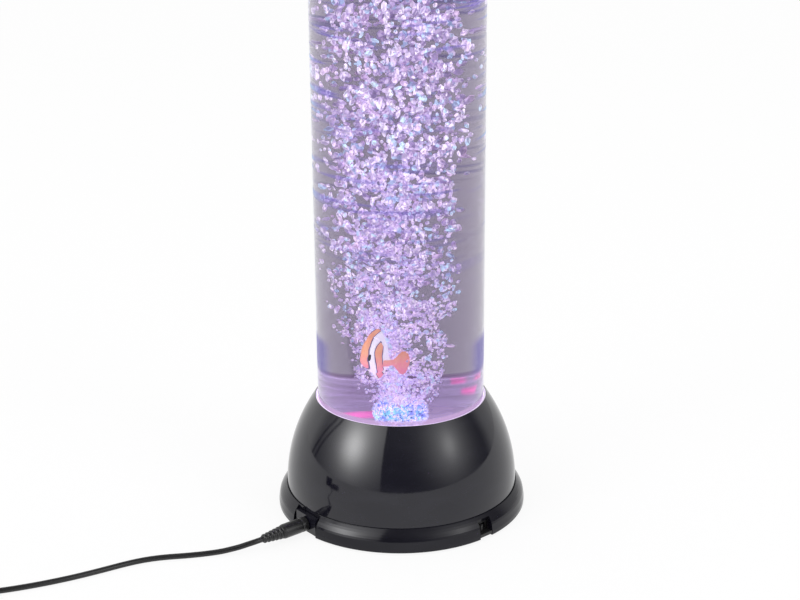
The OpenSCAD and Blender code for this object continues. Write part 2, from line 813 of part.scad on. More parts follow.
// Winding around the middle pole, between two end plates
module pump_coil() {
    wind_z = core_half_z - pole - 0.2;
    wind_y = core_half_y + 3.2;
    color([0.72, 0.4, 0.2]) difference() {
        union() {
            translate([core_x + 2.5, pump_mid_y - wind_y + 0.8, arm_z - wind_z + 0.5])
                cube([core_len - core_back - 3.5, 2 * wind_y - 1.6, 2 * wind_z - 1]);
            for (x = [core_x + 1.5, core_x + core_len - core_back - 1.4])
                translate([x, pump_mid_y - wind_y, arm_z - wind_z])
                    cube([1.2, 2 * wind_y, 2 * wind_z]);
        }
        translate([core_x, pump_mid_y - core_half_y - 0.1, arm_z - mid_pole - 0.1])
            cube([core_len, 2 * core_half_y + 0.2, 2 * mid_pole + 0.2]);
    }
}

module pump_arm() {
    tip = core_x - magnet_gap - magnet_thick;
    color([0.55, 0.56, 0.6]) difference() {
        union() {
            translate([pivot_x, pump_mid_y - 5, arm_z - arm_thick / 2])
                cube([tip - pivot_x, 10, arm_thick]);
            translate([pivot_x, pump_mid_y - 8, arm_z]) rotate([-90, 0, 0])
                cylinder(r = pivot_d / 2 + 2, h = 16, $fn = 48);
        }
        translate([pivot_x, pump_mid_y - 9, arm_z]) rotate([-90, 0, 0])
            cylinder(r = pivot_d / 2 + snug, h = 18, $fn = 48);
    }
}

module arm_magnet() {
    color([0.25, 0.25, 0.28])
        translate([core_x - magnet_gap - magnet_thick, pump_mid_y - 6, arm_z - 6])
            cube([magnet_thick, 12, 12]);
}

module arm_pivot() {
    color([0.8, 0.8, 0.82]) translate([pivot_x, pump_mid_y - 12, arm_z]) rotate([-90, 0, 0])
        cylinder(r = pivot_d / 2, h = 24, $fn = 48);
}

// Rubber cup between the arm and the valve box, with a waist fold
module pump_bellows() {
    low = pump_floor + valve_h;
    high = arm_z - arm_thick / 2 - gap;
    mid = (low + high) / 2;
    color([0.1, 0.1, 0.1]) translate([valve_x, pump_mid_y, 0]) rotate_extrude($fn = 60)
        polygon([[0, high - 1.6], [5.6, high - 1.6], [4.6, mid], [6.3, low + 0.8], [6.3, low],
            [7.6, low], [7.6, low + 0.8], [6.2, mid], [7, high - 0.5], [6.4, high], [0, high]]);
}

module valve_box() {
    color([0.3, 0.32, 0.36]) difference() {
        union() {
            translate([valve_x - valve_w / 2, pump_mid_y - valve_w / 2, pump_floor])
                cube([valve_w, valve_w, valve_h]);
            translate([valve_x, pump_y - barb_len, outlet_z]) rotate([-90, 0, 0])
                cylinder(r = barb_r, h = pump_mid_y - pump_y + barb_len, $fn = 32);
        }
        translate([valve_x, pump_y - barb_len - 1, outlet_z]) rotate([-90, 0, 0])
            cylinder(r = air_bore / 2, h = pump_mid_y - pump_y + barb_len - 1, $fn = 24);
        translate([valve_x, pump_mid_y - 3, outlet_z]) cylinder(r = air_bore / 2, h = 9, $fn = 24);
    }
}

// Two barbed halves around a valve flap, in line with the hose
module check_valve() {
    color([0.75, 0.8, 0.85]) translate([check_x, check_y, check_z]) rotate([0, 90, 0])
        difference() {
            union() {
                cylinder(r = check_r, h = check_len, $fn = 48);
                disc(check_r + 0.8, 1.6, check_len / 2 - 0.8, 48);
                disc(barb_r, check_len + 2 * barb_len - 2, 1 - barb_len, 32);
            }
            disc(air_bore / 2, 3 * barb_len, -2 * barb_len, 24);
            disc(air_bore / 2, 3 * barb_len, check_len - barb_len + 1, 24);
            disc(check_r - 1.5, check_len / 2 - 2.2, 1.5, 32);
        }
}

module hose(p) {
    color([0.85, 0.85, 0.85, 0.6]) difference() {
        swept(smooth(p, 2), hose_r, 10);
        swept(concat([2 * p[0] - p[1]], smooth(p, 2),
            [2 * p[len(p) - 1] - p[len(p) - 2]]), barb_r + 0.25, 10);
    }
}

module air_hose_lower() {
    y0 = pump_y - gap;
    x1 = check_x - gap;
    hose([[valve_x, y0, outlet_z], [valve_x, y0 - 6.5, outlet_z],
        [valve_x, y0 - 10.7, outlet_z + 2], [valve_x - 1, y0 - 14.4, outlet_z + 5.6],
        [valve_x - 3, y0 - 18, check_z - 9.8], [valve_x - 4.4, check_y + 2, check_z - 5.4],
        [valve_x - 3.4, check_y, check_z - 1.8], [valve_x, check_y, check_z],
        [x1 - 6, check_y, check_z], [x1, check_y, check_z]]);
}

module air_hose_upper() {
    x0 = check_x + check_len + gap;
    x1 = stem_r + gap;
    hose([[x0, check_y, check_z], [x0 + 6, check_y, check_z],
        [x0 + 11, check_y + 1, check_z + 1], [x0 + 14.6, check_y + 4.6, check_z + 2.4],
        [x0 + 16, check_y + 10, elbow_z - 2.8], [x0 + 15, check_y + 16, elbow_z - 1.2],
        [x0 + 11, check_y + 22, elbow_z - 0.2], [x1 + 19, -1.5, elbow_z], [x1 + 14, 0, elbow_z],
        [x1 + 7, 0, elbow_z], [x1, 0, elbow_z]]);
}

// ---- Leads inside the base ----

module lead(p, tint) {
    color(tint) swept(smooth(p, 2), wire_r, 8);
}

function spot(angle, r, z) = [r * cos(angle), r * sin(angle), z];

module inlet_lead() {
    lead([spot(inlet_angle, inlet_back - 0.1, inlet_z), spot(inlet_angle, inlet_back - 4, inlet_z),
        spot(inlet_angle, inlet_back - 9, inlet_z + 2), [-36, header_y - 2.5, header_z - 1.5],
        [-31.5, header_y, header_z], [-27.1, header_y, header_z]], [0.7, 0.1, 0.1]);
}

module switch_lead() {
    lead([spot(switch_angle, switch_back - 0.1, inlet_z), spot(switch_angle, switch_back - 4, inlet_z),
        spot(switch_angle, switch_back - 10, inlet_z + 1.5),
        [35.5, header_y - 3.5, header_z - 1.5], [31.5, header_y, header_z],
        [27.1, header_y, header_z]], [0.1, 0.1, 0.1]);
}

module light_lead() {
    y = board_y + 1.2;
    lead([[16.1, y + 2.8, header_z], [19, y + 2.6, header_z + 0.6],
        [22.6, y + 1.2, header_z + 3.6], [24, y + 0.2, header_z + 9],
        [24, y, check_z], [24, y, light_z - 5], [24, y, light_z - 0.1]], [0.9, 0.9, 0.9]);
}

module pump_lead() {
    x = core_x + 7;
    y = board_y + 17;
    lead([[3, y, board_top + 5.1], [3, y, board_top + 8], [5, y + 1, board_top + 12],
        [10, y + 4.5, arm_z + 2], [16, pump_y - 7, arm_z + 1.4], [x, pump_y - 3, arm_z],
        [x, pump_y + 1, arm_z], [x, pump_mid_y - core_half_y - 2.9, arm_z]], [0.1, 0.1, 0.1]);
}

// ---- Top cap ----

module top_cap() {
    top_z = tube_top + gap + seal_thick;
    skirt_r = tube_r + gap + cap_wall;
    color([0.05, 0.05, 0.06]) difference() {
        union() {
            ring(skirt_r, tube_r + gap, cap_skirt, top_z - cap_skirt + eps);
            disc(skirt_r, cap_thick, top_z);
            // spigot that centres the cap inside the tube
            ring(bore_r - 2.5, bore_r - 4.5, 12, top_z - 12 + eps);
        }
        // rounded shoulder
        rotate_extrude($fn = 120) difference() {
            translate([skirt_r - cap_thick / 2, top_z + cap_thick / 2]) square(cap_thick);
            translate([skirt_r - cap_thick / 2, top_z + cap_thick / 2])
                circle(r = cap_thick / 2, $fn = 48);
        }
        disc(vent_d / 2, 20, top_z - 5, 32);
    }
}

module cap_seal() {
    color([0.2, 0.2, 0.2]) ring(tube_r, bore_r, seal_thick, tube_top + gap);
}

// ---- Fish ----

// Reach of the body above and below its axis, nose at 0 and tail root at 1
function body_top(t) =
    fish_height * (0.085 + 0.6 * pow(sin(180 * pow(min(1, t / 0.82), 0.6)), 0.9));
function body_low(t) =
    fish_height * (0.085 + 0.235 * pow(sin(180 * pow(min(1, t / 0.82), 1.2)), 1.1));
function body_side(t) = fish_thick / 2 * (0.14 + 0.86 * sin(180 * pow(t, 0.62)));

module fish_body() {
    body = fish_len * 0.78;
    sides = 12;
    loft([for (i = [0:10]) let(t = 0.02 + 0.96 * i / 10) for (k = [0:sides - 1])
        let(a = -360 * k / sides)
        [fish_len / 2 - body * t, body_side(t) * cos(a),
        (a < -180 ? body_top(t) : body_low(t)) * sin(a)]], sides);
}

// A thin fin drawn in the plane of the body
module fin(outline) {
    translate([0, 0.7, 0]) rotate([90, 0, 0]) linear_extrude(1.4) polygon(outline);
}

module fish(home) {
    l = fish_len;
    h = fish_height;
    color([0.95, 0.45, 0.2]) translate(home[0]) rotate([0, -home[2], home[1]]) union() {
        fish_body();
        fin([[-l * 0.24, -h * 0.07], [-l * 0.24, h * 0.07], [-l * 0.36, h * 0.24], [-l * 0.43, h * 0.32],
            [-l * 0.48, h * 0.22], [-l * 0.5, 0], [-l * 0.48, -h * 0.22], [-l * 0.43, -h * 0.32],
            [-l * 0.36, -h * 0.24]]);
        fin([[l * 0.44, h * 0.42], [l * 0.44, h * 0.62], [l * 0.36, h * 0.82], [l * 0.26, h * 0.92],
            [l * 0.2, h * 0.92], [l * 0.1, h * 0.78], [0, h * 0.56], [-l * 0.06, h * 0.32],
            [-l * 0.09, h * 0.05]]);
        fin([[l * 0.2, -h * 0.15], [l * 0.2, -h * 0.36], [l * 0.1, -h * 0.46], [0, -h * 0.44],
            [-l * 0.06, -h * 0.3], [-l * 0.09, -h * 0.05]]);
    }
}

module fish_1() { fish(fish_homes[0]); }
module fish_2() { fish(fish_homes[1]); }
module fish_3() { fish(fish_homes[2]); }
module fish_4() { fish(fish_homes[3]); }
module fish_5() { fish(fish_homes[4]); }

// ---- Plug, lead and adapter ----

// Ribs that get thinner towards the lead, cut from the section of the relief
module relief_section(r_start, r_end, length, count) {
    step = length / count;
    for (i = [0:count - 1]) let(r = r_start + (r_end - r_start) * i / (count - 1)) {
        translate([0, i * step]) square([r, step * 0.62]);
        translate([0, i * step]) square([r - 0.8, step]);
    }
}

module power_plug() {
    grip_r = plug_d / 2;
    color([0.05, 0.05, 0.05]) rotate([0, 0, inlet_angle]) translate([plug_face, 0, inlet_z])
        rotate([0, 90, 0]) difference() {
            rotate_extrude($fn = 60) {
                polygon([[0, 0], [grip_r - 0.7, 0], [grip_r, 0.7], [grip_r, plug_len - 2],
                    [grip_r - 0.6, plug_len - 0.5], [grip_r - 1, plug_len], [0, plug_len]]);
                translate([0, plug_len - eps])
                    relief_section(grip_r - 0.6, lead_d / 2 + 1, relief_len, rib_count);
            }
            disc(barrel_d / 2 + snug, barrel_grip, -eps, 48);
        }
}

module plug_barrel() {
    start = plug_face - barrel_len;
    color([0.8, 0.8, 0.82]) difference() {
        spoke(inlet_angle, start, plug_face + barrel_grip - 0.2, barrel_d / 2, inlet_z);
        spoke(inlet_angle, start - 1, plug_face + 2, 1.1, inlet_z, 24);
    }
}

module cord() {
    color([0.05, 0.05, 0.05]) swept(lead_route, lead_d / 2, 8);
}

// The coil winds in and out again, and climbs a layer where it turns back
layer_angle = 360 * coil_turns;
coil_count = coil_layers * coil_turns * coil_steps;
function triangle(u) = let(w = u % 2) w <= 1 ? w : 2 - w;
function climb(u) = let(k = floor(u + 0.5), half = 90 / layer_angle)
    k < 1 || k >= coil_layers ? floor(u) : let(d = u - k)
    abs(d) > half ? floor(u) : k - 1 + (d + half) / (2 * half);
function coil_at(i) = let(a = 360 * i / coil_steps, u = a / layer_angle,
    r = coil_out_r - coil_pitch * coil_turns * triangle(u),
    z = min(climb(u), coil_layers - 1))
    [coil_mid[0] + r * cos(90 + a), coil_mid[1] + r * sin(90 + a), coil_z + coil_pitch * z];
turns = [for (i = [0:coil_count]) coil_at(i)];
coil_route = concat([lead_end], turns,
    [for (x = [lead_d, coil_mid[0] - tail_end]) turns[coil_count] - [x, 0, 0]]);
coil_gap = min([for (i = [0:coil_count], j = [i + coil_steps / 2:coil_count])
    norm(turns[i] - turns[j])]) - lead_d;
echo(coil_gap_to_itself = coil_gap);

module cord_coil() {
    color([0.05, 0.05, 0.05]) swept(coil_route, lead_d / 2, 6);
}

module cord_tie() {
    low_r = coil_in_r - lead_d / 2 - gap;
    high_r = coil_out_r + lead_d / 2 + gap;
    top = coil_z + (coil_layers - 1) * coil_pitch + lead_d / 2 + gap;
    color([0.08, 0.08, 0.08]) translate([coil_mid[0], coil_mid[1], 0]) rotate([0, 0, 270])
        difference() {
            translate([low_r - tie_thick, -tie_width / 2, 0])
                cube([high_r - low_r + 2 * tie_thick, tie_width, top + tie_thick]);
            translate([low_r, -tie_width, tie_thick]) cube([high_r - low_r, 2 * tie_width, top - tie_thick]);
        }
}

module adapter_block(x0, x1, inset) {
    translate([x0, adapter_y - adapter_width / 2 + inset, inset])
        cube([x1 - x0, adapter_width - 2 * inset, adapter_height - 2 * inset]);
}

module adapter_case() {
    back = adapter_x - adapter_len + lid_depth;
    color([0.05, 0.05, 0.05]) {
        difference() {
            adapter_block(back, adapter_x, 0);
            adapter_block(back - 1, adapter_x - adapter_wall, adapter_wall);
        }
        translate([adapter_x - eps, adapter_y, adapter_mid_z]) rotate([0, 90, 0])
            rotate_extrude($fn = 48) union() {
                relief_section(5, lead_d / 2 + 1, adapter_relief, rib_count);
            }
    }
}

module adapter_lid() {
    front = adapter_x - adapter_len;
    color([0.05, 0.05, 0.05]) difference() {
        union() {
            adapter_block(front, front + lid_depth - snug, 0);
            difference() {
                adapter_block(front + lid_depth - 1, front + lid_depth + 2, adapter_wall + slip);
                adapter_block(front + lid_depth - 2, front + lid_depth + 3, adapter_wall + 1.6);
            }
        }
        for (s = [-1, 1]) translate([front - 1, adapter_y + s * blade_gap / 2 - blade_thick / 2 - snug,
            adapter_mid_z - blade_width / 2 - snug])
            cube([lid_depth + 2, blade_thick + 2 * snug, blade_width + 2 * snug]);
    }
}

module adapter_blades() {
    tip = adapter_x - adapter_len - blade_len;
    color([0.85, 0.8, 0.6]) for (s = [-1, 1])
        translate([tip, adapter_y + s * blade_gap / 2 - blade_thick / 2, adapter_mid_z - blade_width / 2])
            cube([blade_len + lid_depth + 3, blade_thick, blade_width]);
}

module adapter_board() {
    low = adapter_x - adapter_len + lid_depth + 3.5;
    color([0.1, 0.4, 0.2]) {
        translate([low, adapter_y - adapter_width / 2 + adapter_wall + gap, 7])
            cube([adapter_len - lid_depth - adapter_wall - 4, adapter_width - 2 * adapter_wall - 2 * gap,
                board_thick]);
        translate([low + 4, adapter_y - 8, 7 + board_thick - eps]) cube([14, 16, 11]);
    }
}

bottom_plate();
rubber_feet();
case_screws();
trim_ring();
base_dome();
support_drum();
drum_screws();
seat_cup();
tube();
tube_floor();
air_nozzle();
nozzle_gasket();
nozzle_nut();
air_stone();
light_board();
light_chips();
control_board();
board_parts();
board_screws();
power_inlet();
switch_body();
switch_knob();
pump_case();
pump_lid();
lid_screws();
pump_pads();
pump_core();
pump_coil();
pump_arm();
arm_magnet();
arm_pivot();
pump_bellows();
valve_box();
check_valve();
air_hose_lower();
air_hose_upper();
inlet_lead();
switch_lead();
light_lead();
pump_lead();
top_cap();
cap_seal();
fish_1();
fish_2();
fish_3();
fish_4();
fish_5();
power_plug();
plug_barrel();
cord();
cord_coil();
cord_tie();
adapter_case();
adapter_lid();
adapter_blades();
adapter_board();
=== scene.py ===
"""Dresses the bubble tube floor lamp: a lit water column on a glossy round base."""

import logging
import math
import random
from dataclasses import dataclass
from enum import Enum
from typing import Mapping, Sequence

import bpy
import numpy as np
from mathutils import Matrix, Vector, noise


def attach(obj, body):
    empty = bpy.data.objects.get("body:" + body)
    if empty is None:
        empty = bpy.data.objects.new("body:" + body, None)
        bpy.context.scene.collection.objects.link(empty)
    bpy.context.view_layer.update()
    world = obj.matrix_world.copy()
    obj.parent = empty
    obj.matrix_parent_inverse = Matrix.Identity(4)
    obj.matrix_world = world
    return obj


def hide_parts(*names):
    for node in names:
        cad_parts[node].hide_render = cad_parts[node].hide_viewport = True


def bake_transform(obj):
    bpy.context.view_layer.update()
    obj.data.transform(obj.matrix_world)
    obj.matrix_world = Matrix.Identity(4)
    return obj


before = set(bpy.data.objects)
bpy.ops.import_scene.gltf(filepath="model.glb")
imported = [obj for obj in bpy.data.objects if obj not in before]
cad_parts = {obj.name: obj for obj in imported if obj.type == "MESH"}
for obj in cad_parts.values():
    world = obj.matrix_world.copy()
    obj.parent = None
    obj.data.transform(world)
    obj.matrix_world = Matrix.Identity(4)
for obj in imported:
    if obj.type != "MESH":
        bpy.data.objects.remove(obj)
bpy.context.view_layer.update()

MM = 0.001
LOBES = 3.0  # pink spots around the ring of light chips
LOG = logging.getLogger("lamp")
Colour = tuple[float, float, float]
Point = tuple[float, float, float]
Pair = tuple[float, float]
Face = Sequence[int]
Sheet = tuple[list[Vector], list[Face]]
Table = tuple[Pair, ...]
Spot = tuple[Point, float]


class Side(Enum):
    """Which way a softbox stands from the middle of the lamp."""

    LEFT = -1
    RIGHT = 1


class Kind(Enum):
    """The bodies that pieces ride on, apart from the fish."""

    LAMP = "lamp"
    LEVER = "pump_lever"


def shaded(colour: Colour, factor: float) -> Colour:
    """The colour made that much darker."""
    return tuple(factor * c for c in colour)


def placed(name: str, data: bpy.types.ID) -> bpy.types.Object:
    """A new object in the scene."""
    obj = bpy.data.objects.new(name, data)
    bpy.context.scene.collection.objects.link(obj)
    return obj


# ---- Node trees ----


class Link:
    """One output of a node. Arithmetic on it adds Math nodes."""

    def __init__(self, net: "Net", socket: bpy.types.NodeSocket) -> None:
        """Wraps a socket of a node tree."""
        self.net = net
        self.socket = socket

    def math(self, operation: str, *others: "float | Link") -> "Link":
        """Applies one Math operation.

        Args:
            operation: Blender's name of the operation.
            *others: the values after this one.

        Returns:
            The result as a new link.
        """
        values = dict(enumerate((self, *others)))
        return self.net.add("Math", values, operation=operation).out()

    def __add__(self, other: "float | Link") -> "Link":
        """Sum."""
        return self.math("ADD", other)

    def __sub__(self, other: "float | Link") -> "Link":
        """Difference."""
        return self.math("SUBTRACT", other)

    def __rsub__(self, other: float) -> "Link":
        """A number less this value."""
        return self.net.add("Math", {0: other, 1: self}, operation="SUBTRACT").out()

    def __mul__(self, other: "float | Link") -> "Link":
        """Product."""
        return self.math("MULTIPLY", other)

    def __truediv__(self, other: "float | Link") -> "Link":
        """Quotient."""
        return self.math("DIVIDE", other)

    def __pow__(self, other: float) -> "Link":
        """Power."""
        return self.math("POWER", other)

    __radd__ = __add__
    __rmul__ = __mul__

    def most(self, *others: "float | Link") -> "Link":
        """The greatest of this value and the others."""
        best = self
        for other in others:
            best = best.math("MAXIMUM", other)
        return best

    def wave(self) -> "Link":
        """Cosine."""
        return self.math("COSINE")

    def size(self) -> "Link":
        """The value without its sign."""
        return self.math("ABSOLUTE")

    def step(self, low: float, high: float) -> "Link":
        """Rises smoothly from 0 at low to 1 at high."""
        values = {"Value": self, "From Min": low, "From Max": high}
        return self.net.add("MapRange", values, interpolation_type="SMOOTHSTEP").out()

    def band(self, low: float, high: float, soft: float) -> "Link":
        """Is 1 between low and high, with soft edges."""
        return self.step(low, low + soft) * (1.0 - self.step(high - soft, high))


class Node:
    """A node that has been placed, read by the names of its outputs."""

    def __init__(self, net: "Net", node: bpy.types.Node) -> None:
        """Wraps a node of a node tree."""
        self.net = net
        self.node = node

    def out(self, name: str | int = 0) -> Link:
        """The output of that name or number."""
        return Link(self.net, self.node.outputs[name])


class Net:
    """A node tree under construction."""

    def __init__(self, tree: bpy.types.NodeTree) -> None:
        """Starts from an empty tree."""
        tree.nodes.clear()
        self.tree = tree

    def add(
        self, kind: str, inputs: Mapping[str | int, object] | None = None, **settings: object
    ) -> Node:
        """Places a node.

        Args:
            kind: Blender's type name of the node, less its first word.
            inputs: a value or a link for each input named.
            **settings: its properties, set first.

        Returns:
            The placed node.
        """
        node = self.tree.nodes.new("ShaderNode" + kind)
        for name, value in settings.items():
            setattr(node, name, value)
        for name, value in (inputs or {}).items():
            socket = node.inputs[name]
            if isinstance(value, Link):
                self.tree.links.new(value.socket, socket)
            elif socket.type == "RGBA":
                socket.default_value = (*value, 1.0)
            else:
                socket.default_value = value
        return Node(self, node)

    def place(self) -> Link:
        """Where a point lies on its own object."""
        return self.add("TexCoord").out("Object")

    def axes(self, vector: Link) -> tuple[Link, Link, Link]:
        """The three parts of a vector."""
        split = self.add("SeparateXYZ", {0: vector})
        return split.out("X"), split.out("Y"), split.out("Z")

    def stretch(self, vector: Link, factors: Point) -> Link:
        """Multiplies a vector axis by axis."""
        return self.add("VectorMath", {0: vector, 1: factors}, operation="MULTIPLY").out()

    def toward(self, vector: Link, direction: Point) -> Link:
        """How far a vector points in a direction."""
        node = self.add("VectorMath", {0: vector, 1: direction}, operation="DOT_PRODUCT")
        return node.out("Value")

    def noise(self, vector: Link, scale: float, detail: float = 2.0) -> Link:
        """Soft noise around a half."""
        values = {"Vector": vector, "Scale": scale, "Detail": detail}
        return self.add("TexNoise", values).out(0)

    def streaks(
        self, vector: Link, factors: Point, scale: float = 1.0, detail: float = 1.0
    ) -> Link:
        """Noise that is finer along the axes with greater factors."""
        return self.noise(self.stretch(vector, factors), scale, detail)

    def cells(self, vector: Link, scale: float) -> Link:
        """The distance from the middle of random cells."""
        return self.add("TexVoronoi", {"Vector": vector, "Scale": scale}).out("Distance")

    def blend(self, factor: "float | Link", a: "Colour | Link", b: "Colour | Link") -> Link:
        """Mixes two colours: a at 0 and b at 1."""
        return self.add("Mix", {0: factor, 6: a, 7: b}, data_type="RGBA").out(2)

    def glow(self, colour: "Colour | Link", strength: "float | Link") -> Link:
        """Makes a colour stronger or weaker."""
        return self.add("VectorMath", {0: colour, "Scale": strength}, operation="SCALE").out()

    def bump(self, height: Link, depth: float, strength: float = 1.0) -> Link:
        """Turns a height between 0 and 1 into a normal."""
        values = {"Height": height, "Distance": depth, "Strength": strength}
        return self.add("Bump", values).out()

    def surface(self, **inputs: object) -> Link:
        """A Principled shader; underscores in names stand for spaces."""
        named = {name.replace("_", " "): value for name, value in inputs.items()}
        return self.add("BsdfPrincipled", named).out()

    def glowing(self, colour: "Colour | Link", power: "float | Link", **inputs: object) -> Link:
        """A Principled shader that also gives light of that colour and power."""
        glow = self.glow(colour, power)
        return self.surface(Emission_Color=glow, Emission_Strength=1.0, **inputs)

    def lit(self, colour: "Colour | Link", strength: float) -> Link:
        """A shader that only gives light."""
        values = {"Color": colour, "Strength": strength}
        return self.add("Emission", values).out()

    def paper(self, shade: float) -> Link:
        """A matt grey shader."""
        return self.add("BsdfDiffuse", {"Color": (shade, shade, shade)}).out()

    def mix(self, factor: "float | Link", a: Link, b: Link) -> Link:
        """Mixes two shaders: a at 0 and b at 1."""
        return self.add("MixShader", {0: factor, 1: a, 2: b}).out()


# ---- Finishes ----


@dataclass(frozen=True)
class Finish:
    """A named finish. Each kind writes its own node tree."""

    name: str

    def shade(self, net: Net) -> Link:
        """Writes the nodes.

        Args:
            net: the empty node tree.

        Returns:
            The surface shader.
        """
        raise NotImplementedError

    def inside(self, net: Net) -> Link | None:
        """The volume shader, if there is one."""
        return None

    def material(self) -> bpy.types.Material:
        """Makes the material, or finds it if it is there already."""
        found = bpy.data.materials.get("finish_" + self.name)
        if found:
            return found
        material = bpy.data.materials.new("finish_" + self.name)
        material.use_nodes = True
        net = Net(material.node_tree)
        ends = {"Surface": self.shade(net), "Volume": self.inside(net)}
        ends = {name: link for name, link in ends.items() if link}
        net.add("OutputMaterial", ends)
        return material


@dataclass(frozen=True)
class Moulded(Finish):
    """Moulded plastic or rubber, from mirror gloss to matt grain."""

    colour: Colour
    roughness: float
    haze: float = 0.04
    grain: float = 900.0
    depth: float = 0.00002
    shine: float = 0.5

    def shade(self, net: Net) -> Link:
        """Fine grain in the surface, with faint wipe marks in the gloss."""
        place = net.place()
        marks = net.streaks(place, (1.0, 1.0, 3.0), 38.0, 3.0)
        lighter = tuple(min(1.0, 1.25 * c + 0.004) for c in self.colour)
        colour = net.blend(marks.step(0.35, 0.8), self.colour, lighter)
        rough = marks.step(0.3, 0.8) * self.haze + self.roughness
        normal = net.bump(net.noise(place, self.grain), self.depth)
        return net.surface(
            Base_Color=colour, Roughness=rough, Normal=normal, Specular_IOR_Level=self.shine
        )


@dataclass(frozen=True)
class Metal(Finish):
    """Plain metal with fine turning or rolling marks."""

    colour: Colour
    roughness: float
    marks: Point = (1.0, 1.0, 12.0)

    def shade(self, net: Net) -> Link:
        """Marks run across the stretched axis."""
        lines = net.streaks(net.place(), self.marks, 700.0, 2.0)
        darker = shaded(self.colour, 0.75)
        return net.surface(
            Base_Color=net.blend(lines, darker, self.colour),
            Roughness=lines * 0.15 + self.roughness,
            Metallic=1.0,
            Normal=net.bump(lines, 0.00001),
        )


@dataclass(frozen=True)
class Layers(Finish):
    """Iron sheets or wire turns side by side along one axis."""

    colour: Colour
    pitch: float
    axis: int
    metallic: float

    def shade(self, net: Net) -> Link:
        """A groove between each two layers, darkened with painted shade."""
        along = net.axes(net.place())[self.axis]
        wave = (along * (1.0 / self.pitch)).math("FRACT")
        ridge = wave.band(0.0, 1.0, 0.35)
        # painted shade: the grooves between the layers are a quarter as bright
        dark = shaded(self.colour, 0.25)
        return net.surface(
            Base_Color=net.blend(ridge, dark, self.colour),
            Roughness=0.55 - ridge * 0.2,
            Metallic=self.metallic,
            Normal=net.bump(ridge, 0.0001),
        )


@dataclass(frozen=True)
class Board(Finish):
    """Lacquered circuit board with faint copper tracks."""

    colour: Colour
    track: Colour

    def shade(self, net: Net) -> Link:
        """Tracks follow the edges between square cells."""
        values = {"Vector": net.place(), "Scale": 260.0, "Randomness": 0.6}
        cells = net.add("TexVoronoi", values, distance="CHEBYCHEV").out("Distance")
        lines = cells.band(0.42, 0.6, 0.04)
        return net.surface(
            Base_Color=net.blend(lines, self.colour, self.track),
            Roughness=0.3 + lines * 0.1,
            Normal=net.bump(lines, 0.00003),
        )


@dataclass(frozen=True)
class ClearWall(Finish):
    """Polished clear tube with streaks of lamp light on it."""

    streak: Colour
    glint: Colour
    # foot and lip are colours of painted light: a band near the foot and a thin line at the lip
    foot: Colour
    lip: Colour
    amount: float
    reach: Pair
    foot_reach: Pair = (0.096, 0.127)
    lip_reach: Pair = (0.0762, 0.0798)

    def shade(self, net: Net) -> Link:
        """Light passes, the skin mirrors a little, and streaks of painted lamp light lie level
        around it, with painted glints at the edges, a painted reflection of the lit cup near the
        foot and a painted glow line at the lip.
        """
        place = net.place()
        height = net.axes(place)[2]
        front = 1.0 - net.add("NewGeometry").out("Backfacing")
        rim = net.add("LayerWeight", {"Blend": 0.5}).out("Facing")
        gloss = net.add("BsdfGlossy", {"Color": (0.9, 0.9, 0.95), "Roughness": 0.02}).out()
        clear = net.add("BsdfTransparent", {"Color": (1.0, 1.0, 1.0)}).out()
        skin = net.mix((rim ** 5.0 * 0.7 + 0.03) * front, clear, gloss)
        level = net.streaks(place, (14.0, 14.0, 330.0))
        zone = net.streaks(place, (8.0, 8.0, 26.0)).step(0.38, 0.6)
        reach = height.band(*self.reach, 0.12)
        lines = level.step(0.55, 0.68) * zone * reach * self.amount
        edge = rim.step(0.45, 0.85)
        flash = level.step(0.6, 0.66) * edge * reach * 0.7
        # painted reflection of the lit cup: a violet band near the edges above the foot
        foot = height.band(*self.foot_reach, 0.008) * rim.step(0.44, 0.7) * front * 0.52
        lit = net.blend(flash, self.streak, self.glint)
        lit = net.blend(foot * 1.8, lit, self.foot)
        # painted glow of the cup's lit rim, in a thin line at the lip
        lip = height.band(*self.lip_reach, 0.0009) * 0.6
        lit = net.blend(lip.step(0.0, 0.2), lit, self.lip)
        share = lines.most(flash, foot, lip)
        return net.mix(share, skin, net.lit(lit, 1.0))


@dataclass(frozen=True)
class Water(Finish):
    """Still water that takes a little of every colour, least of blue."""

    taken: Colour

    def shade(self, net: Net) -> Link:
        """Bends light at its skin."""
        return net.surface(
            Base_Color=(1.0, 1.0, 1.0), Roughness=0.0, IOR=1.333, Transmission_Weight=1.0
        )

    def inside(self, net: Net) -> Link:
        """Darkens with depth."""
        density = max(self.taken) / 0.9
        kept = tuple(1.0 - c / density for c in self.taken)
        values = {"Color": kept, "Density": density}
        return net.add("VolumeAbsorption", values).out()


